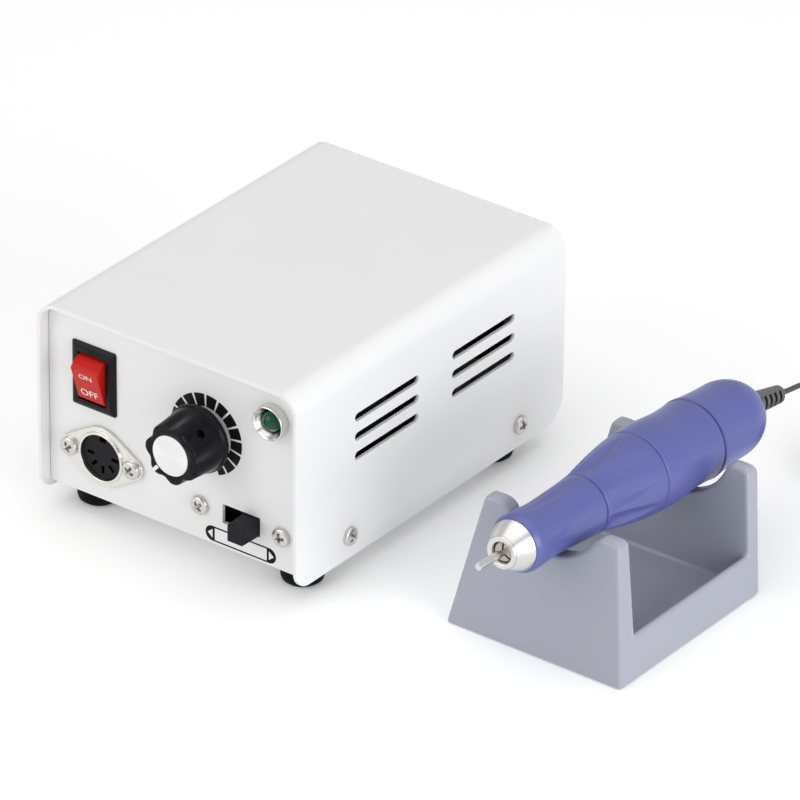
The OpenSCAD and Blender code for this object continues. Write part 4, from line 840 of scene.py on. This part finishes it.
WAVE_POWER = 1.3
STEEP_REACH, STEEP_SHARE = 0.58, 0.75
FLUTE_SIZES = ("Count", "Phase", "Depth", "Start", "Reach", "Inner Radius")
flutes, given, result = geometry_tree(
    "finger_flutes", [("Center", "NodeSocketVector"), ("Material", "NodeSocketMaterial")]
    + [(label, "NodeSocketFloat") for label in FLUTE_SIZES])
position = flutes.nodes.new("GeometryNodeInputPosition").outputs[0]
split = flutes.nodes.new("ShaderNodeSeparateXYZ")
flutes.links.new(vector_node(flutes, "SUBTRACT", position, given["Center"]).outputs[0], split.inputs[0])
height = math_node(flutes, "MULTIPLY", split.outputs["Y"], -1.0)
around = math_node(flutes, "ARCTAN2", split.outputs["Z"], split.outputs["X"])
swing = math_node(flutes, "MULTIPLY", math_node(flutes, "SUBTRACT", around, given["Phase"]), given["Count"])
wave = math_node(flutes, "MULTIPLY_ADD", math_node(flutes, "COSINE", swing), -0.5, 0.5)
wave = math_node(flutes, "POWER", wave, WAVE_POWER)
steep_reach = math_node(flutes, "MULTIPLY", given["Reach"], STEEP_REACH)
steep = map_range(flutes, height, given["Start"], steep_reach, STEEP_SHARE, "SMOOTHSTEP")
slow = map_range(flutes, height, given["Start"], given["Reach"], 1 - STEEP_SHARE, "LINEAR")
rise = math_node(flutes, "ADD", steep, slow)
print("nodes for the wave and the rise:", len(flutes.nodes))

# %% [markdown]
# Wave and rise together give the depth at each point, and the point moves by it straight toward the
# knob's line. Each tree ends alike: instances are made real, and a material is set.

# %% Push the skin inward
def finish_tree(tree, geometry, material, result):
    """End a tree by making instances real and giving them a material."""
    realize = tree.nodes.new("GeometryNodeRealizeInstances")
    paint = tree.nodes.new("GeometryNodeSetMaterial")
    tree.links.new(geometry, realize.inputs[0])
    tree.links.new(realize.outputs[0], paint.inputs["Geometry"])
    tree.links.new(material, paint.inputs["Material"])
    tree.links.new(paint.outputs["Geometry"], result["Geometry"])
    print("nodes in", tree.name + ":", len(tree.nodes))


outward = flutes.nodes.new("ShaderNodeCombineXYZ")
flutes.links.new(split.outputs["X"], outward.inputs["X"])
flutes.links.new(split.outputs["Z"], outward.inputs["Z"])
radius = vector_node(flutes, "LENGTH", outward.outputs[0]).outputs["Value"]
outside = math_node(flutes, "GREATER_THAN", radius, given["Inner Radius"])
depth = math_node(flutes, "MULTIPLY", math_node(flutes, "MULTIPLY", wave, rise),
                  math_node(flutes, "MULTIPLY", outside, given["Depth"]))
inward = vector_node(flutes, "SCALE", vector_node(flutes, "NORMALIZE", outward.outputs[0]).outputs[0])
flutes.links.new(math_node(flutes, "MULTIPLY", depth, -1.0), inward.inputs["Scale"])
push = flutes.nodes.new("GeometryNodeSetPosition")
flutes.links.new(given["Geometry"], push.inputs["Geometry"])
flutes.links.new(inward.outputs[0], push.inputs["Offset"])
finish_tree(flutes, push.outputs[0], given["Material"], result)

# %% [markdown]
# The knob's outline has a rounded skirt, a tapered grip, a rolled face edge and a shallow seat for the
# cap. After the flutes, a hole for the set screw is drilled through the side away from the pointer,
# where a screwdriver reaches it.

# %% Lobed knob
def run_tree(piece, tree, values):
    """Run a geometry tree on a piece with its named inputs and keep the plain mesh."""
    modifier = piece.modifiers.new(tree.name, "NODES")
    modifier.node_group = tree
    for item in tree.interface.items_tree:
        if item.in_out == "INPUT" and item.name in values:
            modifier[item.identifier] = values[item.name]
    return applied(piece)


POINTER = math.radians(227)
pointer_way = SIDE * math.cos(POINTER) + UP * math.sin(POINTER)
GRIP_START, GRIP_END = 5.2, 16.2
skirt = [(3.0, 6.4), (3.0, 10.3), (3.08, 10.62), (3.4, 10.8), (4.4, 10.8), (4.7, 10.72), (5.0, 10.42)]
grip = [(s, mix(10.3, 9.52, (s - GRIP_START) / (GRIP_END - GRIP_START)))
        for s in spaced(GRIP_START, GRIP_END, 16)]
face = [(16.5, 9.44), (16.78, 9.24), (16.95, 8.95), (17.0, 8.62), (17.0, 6.6), (16.94, 6.52)]
bore = [(16.2, 6.52), (16.2, 3.02), (6.1, 3.02), (6.1, 6.4)]
knob = turned("lobed_knob", KNOB, skirt + grip + face + bore, 196, sharp=50)
run_tree(knob, flutes, {"Center": KNOB[0], "Count": 7.0, "Phase": POINTER, "Depth": 1.35 * MM,
                        "Start": 5.0 * MM, "Reach": 12.0 * MM, "Inner Radius": 8.55 * MM,
                        "Material": look["knob_black"]})
bpy.ops.mesh.primitive_cylinder_add(vertices=32, radius=1.32 * MM, depth=10 * MM)
drill = bpy.context.object
drill_turn = (-pointer_way).to_track_quat("Z", "Y").to_matrix().to_4x4()
drill.matrix_world = Matrix.Translation(KNOB[0] + (OUT * 10.5 - pointer_way * 8.4) * MM) @ drill_turn
bpy.context.view_layer.update()
hole = knob.modifiers.new("hole", "BOOLEAN")
hole.object = drill
hole.operation = "DIFFERENCE"
applied(knob)
bpy.data.objects.remove(drill)
knob.data.shade_smooth()
knob.data.set_sharp_from_angle(angle=math.radians(50))
stands_for(knob, "speed_knob")

# %% [markdown]
# A slightly domed disc of spun metal covers the knob's face, and a white line from the disc's edge over
# the rolled edge shows where the knob points. The line is a thin inlay that follows the outline.

# %% Cap and pointer
def strip(name, points, along, side, half, thick):
    """A thin inlay on the knob along points of (distance along, distance out), of even width."""
    verts, faces = [], []
    for i, (run, out) in enumerate(points):
        a, b = points[max(i - 1, 0)], points[min(i + 1, len(points) - 1)]
        step = math.hypot(b[0] - a[0], b[1] - a[1])
        lift = (-(b[1] - a[1]) / step * thick, (b[0] - a[0]) / step * thick)
        for across in (-half, half):
            for share in (-1.0, 1.0):
                spot = along * (run + share * lift[0]) + OUT * (out + share * lift[1]) + side * across
                verts.append(KNOB[0] + spot * MM)
    for a in range(0, len(verts) - 4, 4):
        b = a + 4
        faces += [(a, a + 1, b + 1, b), (a + 2, b + 2, b + 3, a + 3)]
        faces += [(a, b, b + 2, a + 2), (a + 1, a + 3, b + 3, b + 1)]
    last = len(verts) - 4
    faces += [(0, 2, 3, 1), (last, last + 1, last + 3, last + 2)]
    return closed_piece(name, verts, faces)


disc = [(16.22, 0.02), (17.06, 0.02)]
disc += [(17.06 - 0.06 * (r / 6.3) ** 2, r) for r in spaced(0.4, 6.2, 14)]
disc += [(16.93, 6.4), (16.8, 6.48), (16.22, 6.48)]
stands_for(turned("spun_cap_disc", KNOB, disc, 128), "knob_cap")
pointer_points = [(6.65, 17.0), (8.6, 17.0), (8.95, 16.95), (9.24, 16.78), (9.44, 16.5), (9.52, 16.2),
                  (9.58, 15.4)]
pointer = strip("knob_pointer", pointer_points, pointer_way, OUT.cross(pointer_way), 0.55, 0.04)
adds_to(pointer, "knob", white_ink)

# %% [markdown]
# ## Pilot lamp
# The lamp's bezel is a spun chrome dish that throws the light forward, with a green dome in its middle.
# Both are turned about the lamp's line, so the dish curves smoothly and the dome keeps a round highlight.

# %% Dish and dome
LAMP = (at(84.6, PANEL_Y, 57.8), OUT, SIDE, UP)
DOME_R = 3.4
dish = [(-1.0, 4.6), (0.0, 4.6), (0.0, 5.6), (1.2, 5.6), (2.5, 5.5), (2.95, 5.4), (3.15, 5.25),
        (3.2, 5.12), (3.1, 5.02), (2.4, 4.72), (1.7, 4.3), (1.1, 3.85), (0.7, 3.52), (-1.0, 3.5)]
stands_for(turned("lamp_dish", LAMP, dish, 96, sharp=60), "lamp_bezel", lamp_chrome)
arch = [(-2.0, 0.06), (-2.0, DOME_R)]
arch += [(-0.2 + DOME_R * math.sin(math.radians(a)), DOME_R * math.cos(math.radians(a)))
         for a in spaced(0, 89, 14)]
stands_for(turned("lamp_dome", LAMP, arch, 64), "lamp_lens")

# %% [markdown]
# ## Screen prints
# The panel carries a ring of black blocks round the knob and a capsule with two arrowheads under the
# slide switch. Screen ink stands a few hundredths of a millimetre proud, so each mark is a thin plate.
# The ring is one block, made about the frame's origin and set out in a circle by geometry nodes.

# %% Tree for the dial ring
ring_tree, given, result = geometry_tree(
    "dial_ring", [("Block", "NodeSocketObject"), ("Count", "NodeSocketInt"), ("Step", "NodeSocketFloat"),
                  ("Material", "NodeSocketMaterial")])
block_info = ring_tree.nodes.new("GeometryNodeObjectInfo")
ring_tree.links.new(given["Block"], block_info.inputs["Object"])
spots = ring_tree.nodes.new("GeometryNodePoints")
ring_tree.links.new(given["Count"], spots.inputs["Count"])
number = ring_tree.nodes.new("GeometryNodeInputIndex").outputs[0]
spin = ring_tree.nodes.new("ShaderNodeCombineXYZ")
ring_tree.links.new(math_node(ring_tree, "MULTIPLY", number, given["Step"]), spin.inputs["Y"])
blocks = ring_tree.nodes.new("GeometryNodeInstanceOnPoints")
ring_tree.links.new(spots.outputs[0], blocks.inputs["Points"])
ring_tree.links.new(block_info.outputs["Geometry"], blocks.inputs["Instance"])
ring_tree.links.new(spin.outputs[0], blocks.inputs["Rotation"])
finish_tree(ring_tree, blocks.outputs[0], given["Material"], result)

# %% [markdown]
# The fourteen blocks have narrow gaps between them, and a shorter block of its own closes each end of
# the scale. A plate is a loop of points on the panel, given two depths.

# %% Dial ring
INK = (PANEL_Y - 0.03, PANEL_Y + 0.01)
DIAL_X, DIAL_Z = 60.0, 44.6
DIAL_R = (8.9, 13.0)
BLOCKS, STEP, GAP, FIRST = 14, 21.0, 3.4, -55.0


def plate(name, loop, depths):
    """A thin plate from a loop of (x, z) points on the panel, standing between two depths."""
    count = len(loop)
    verts = [at(x, y, z) for y in depths for x, z in loop]
    faces = [tuple(range(count)), tuple(range(2 * count - 1, count - 1, -1))]
    faces += [(i, (i + 1) % count, count + (i + 1) % count, count + i) for i in range(count)]
    return closed_piece(name, verts, faces)


def sector(start, end, x, z):
    """A loop round a part of the dial's ring, between two angles in degrees."""
    inner, outer = DIAL_R
    ring = [math.radians(a) for a in spaced(start, end, max(2, round((end - start) / 3)))]
    return ([(x + outer * math.cos(a), z + outer * math.sin(a)) for a in ring]
            + [(x + inner * math.cos(a), z + inner * math.sin(a)) for a in reversed(ring)])


block = plate("dial_block", sector(FIRST + GAP / 2, FIRST + STEP - GAP / 2, ORIGIN_X, 0.0), INK)
dial = add_piece("dial_ring", bpy.data.meshes.new("dial_ring"))
run_tree(dial, ring_tree, {"Block": block, "Count": BLOCKS, "Step": -math.radians(STEP),
                           "Material": black_ink})
bpy.data.objects.remove(block)
dial.data.transform(Matrix.Translation(((DIAL_X - ORIGIN_X) * MM, 0, DIAL_Z * MM)))
adds_to(dial, "base", black_ink)
for label, start, end in (("low", -70, FIRST - GAP / 2), ("high", FIRST + BLOCKS * STEP + GAP / 2, 250)):
    dial_end = plate("dial_end_" + label, sector(start, end, DIAL_X, DIAL_Z), INK)
    adds_to(dial_end, "base", black_ink)

# %% [markdown]
# The capsule is a thin outline with filled round ends. A white arrowhead lies on each end and points
# outward, so it stands a little prouder than the black.

# %% Capsule under the slide switch
def stadium(x_from, x_to, z, half):
    """A loop with two half-round ends."""
    ends = [(x_to - half, -90), (x_from + half, 90)]
    return [(x + half * math.cos(math.radians(first + a)), z + half * math.sin(math.radians(first + a)))
            for x, first in ends for a in spaced(0, 180, 24)]


def band(name, outer, inner, depths):
    """A thin closed band between two loops with the same number of points."""
    count = len(outer)
    verts = [at(x, y, z) for y in depths for loop in (outer, inner) for x, z in loop]
    faces = []
    for i in range(count):
        j = (i + 1) % count
        a, b, c, d = i, count + i, 2 * count + i, 3 * count + i
        e, f, g, h = j, count + j, 2 * count + j, 3 * count + j
        faces += [(a, e, f, b), (c, d, h, g), (a, c, g, e), (b, f, h, d)]
    return closed_piece(name, verts, faces)


END_INK = (PANEL_Y - 0.028, PANEL_Y + 0.01)
ARROW_INK = (PANEL_Y - 0.045, PANEL_Y - 0.01)
LEFT_TIP, RIGHT_TIP, CAPSULE_Z, CAPSULE_HALF = 59.5, 85.5, 12.05, 2.5
LINE, ARROW_HALF = 0.5, 1.45
outer = stadium(LEFT_TIP, RIGHT_TIP, CAPSULE_Z, CAPSULE_HALF)
inner = stadium(LEFT_TIP + LINE, RIGHT_TIP - LINE, CAPSULE_Z, CAPSULE_HALF - LINE)
adds_to(band("capsule_line", outer, inner, INK), "base", black_ink)
end_r = CAPSULE_HALF - 0.3
for label, tip, way in (("left", LEFT_TIP, 1), ("right", RIGHT_TIP, -1)):
    center = tip + way * CAPSULE_HALF
    rim = [(center - way * end_r * math.cos(math.radians(a)), CAPSULE_Z + end_r * math.sin(math.radians(a)))
           for a in spaced(-90, 90, 20)]
    rim += [(center + way * 0.9, CAPSULE_Z + end_r), (center + way * 0.9, CAPSULE_Z - end_r)]
    adds_to(plate("capsule_end_" + label, rim, END_INK), "base", black_ink)
    arrow = [(tip + way * 0.8, CAPSULE_Z)]
    arrow += [(center + way * 0.1, CAPSULE_Z + up) for up in (ARROW_HALF, -ARROW_HALF)]
    adds_to(plate("arrowhead_" + label, arrow, ARROW_INK), "base", white_ink)

# %% [markdown]
# ## Words on the rocker
# ON and OFF are printed white on the red rocker. A text curve is made into a thin mesh and laid on the
# rocker's face, which leans outward at the top because the switch rests in its OFF position.

# %% Rocker words
LEAN = math.radians(18)
face_out = Vector((0, -math.cos(LEAN), -math.sin(LEAN)))
face_up = Vector((0, -math.sin(LEAN), math.cos(LEAN)))
face_mid = at(18.6, 4.8, 48.8) + face_out * 4.6 * MM


def word(text, center, width, height):
    """A word as a thin mesh of a given size, laid on the rocker's face."""
    curve = bpy.data.curves.new("word_" + text.lower(), "FONT")
    curve.body = text
    curve.align_x = "CENTER"
    curve.align_y = "CENTER"
    curve.extrude = 0.02
    holder = add_piece("holder", curve)
    mesh = plain_mesh(holder)
    bpy.data.objects.remove(holder)
    low = [min(v.co[i] for v in mesh.vertices) for i in range(2)]
    high = [max(v.co[i] for v in mesh.vertices) for i in range(2)]
    size = Matrix.Diagonal((width / (high[0] - low[0]), height / (high[1] - low[1]), 1, 1))
    middle = Matrix.Translation((-(low[0] + high[0]) / 2, -(low[1] + high[1]) / 2, 0))
    turn = Matrix((SIDE, face_up, face_out)).transposed().to_4x4()
    mesh.transform(Matrix.Translation(center) @ turn @ Matrix.Scale(MM, 4) @ size @ middle)
    return add_piece("word_" + text.lower(), mesh)


for text, up, width, height in (("ON", 3.6, 4.7, 1.8), ("OFF", -2.9, 6.4, 2.5)):
    adds_to(word(text, face_mid + face_up * up * MM, width, height), "rocker", white_ink)

# %% [markdown]
# ## Cross-head screws
# The cover, the socket and the slide switch are held by pan-head screws with a cross recess. One head
# is shaped as fine rings of points whose middle sinks along two crossing arms, so the recess slopes
# up toward the arms' ends, as the driver's tip does.

# %% One screw head
ARM_L, ARM_HALF, RECESS_DEPTH = 1.75, 0.46, 2.6
HEAD_H, CROWN_R = 1.75, 2.3
SEGMENTS = 96


def recess(x, y):
    """Depth of the cross recess, deepest in the middle."""
    arms = [max(0.0, 1 - abs(a) / ARM_L) if abs(b) < ARM_HALF else 0.0 for a, b in ((x, y), (y, x))]
    return RECESS_DEPTH * max(arms)


rings = [(r, HEAD_H - 0.35 * (r / 2.4) ** 2) for r in spaced(0.02, CROWN_R, 34)]
rings += [(CROWN_R + 0.7 * math.sin(math.radians(a)), 0.72 + 0.71 * math.cos(math.radians(a)))
          for a in (20, 40, 60, 75, 90)]
rings += [(3.0, 0.2), (2.95, 0.0), (1.5, 0.0), (1.5, -4.0), (0.02, -4.0)]
verts = []
for r, z in rings:
    for k in range(SEGMENTS):
        a = 2 * math.pi * k / SEGMENTS
        x, y = r * math.cos(a), r * math.sin(a)
        verts.append(Vector((x, y, z - recess(x, y) if z > 1 else z)) * MM)
screw = closed_piece("screw_head", verts, ring_faces(len(rings), SEGMENTS), sharp=40)
print("one screw head has", len(screw.data.polygons), "faces")

# %% [markdown]
# Geometry nodes set the head out on every screw's place. Each place keeps its own turn as an attribute,
# a little different from screw to screw, as real screws stop.

# %% Set the screws out
set_out, given, result = geometry_tree(
    "set_out", [("Piece", "NodeSocketObject"), ("Material", "NodeSocketMaterial")])
piece_info = set_out.nodes.new("GeometryNodeObjectInfo")
set_out.links.new(given["Piece"], piece_info.inputs["Object"])
turn_of = set_out.nodes.new("GeometryNodeInputNamedAttribute")
turn_of.data_type = "FLOAT_VECTOR"
turn_of.inputs["Name"].default_value = "turn"
set_pieces = set_out.nodes.new("GeometryNodeInstanceOnPoints")
set_out.links.new(given["Geometry"], set_pieces.inputs["Points"])
set_out.links.new(piece_info.outputs["Geometry"], set_pieces.inputs["Instance"])
set_out.links.new(turn_of.outputs["Attribute"], set_pieces.inputs["Rotation"])
finish_tree(set_out, set_pieces.outputs[0], given["Material"], result)


def set_screws(node, places):
    """Set the screw head out on places, each with the way it faces and its turn in degrees."""
    mesh = bpy.data.meshes.new(node + "_set")
    mesh.from_pydata([tuple(place) for place, way, spin in places], [], [])
    turns = mesh.attributes.new("turn", "FLOAT_VECTOR", "POINT")
    for i, (place, way, spin) in enumerate(places):
        turn = way.to_track_quat("Z", "Y") @ Quaternion(UP, math.radians(spin))
        turns.data[i].vector = turn.to_euler()
    piece = add_piece(node + "_set", mesh)
    run_tree(piece, set_out, {"Piece": screw, "Material": look["screw_steel"]})
    stands_for(piece, node)


BOX_W = 96.0
cover_places = [(at(x, y, 13.7), SIDE * way, spin) for x, way, y, spin in
                ((0, -1, 25.1, 20), (0, -1, 108.1, 75), (BOX_W, 1, 25.1, 38), (BOX_W, 1, 108.1, 12))]
set_screws("cover_screws", cover_places)
set_screws("socket_screws", [(at(9.9, 2.8, 23.6), OUT, 25), (at(33.1, 2.8, 23.6), OUT, 62)])
set_screws("slide_screws", [(at(57.7, PANEL_Y, 20.1), OUT, 40), (at(87.7, PANEL_Y, 20.1), OUT, 8)])
bpy.data.objects.remove(screw)
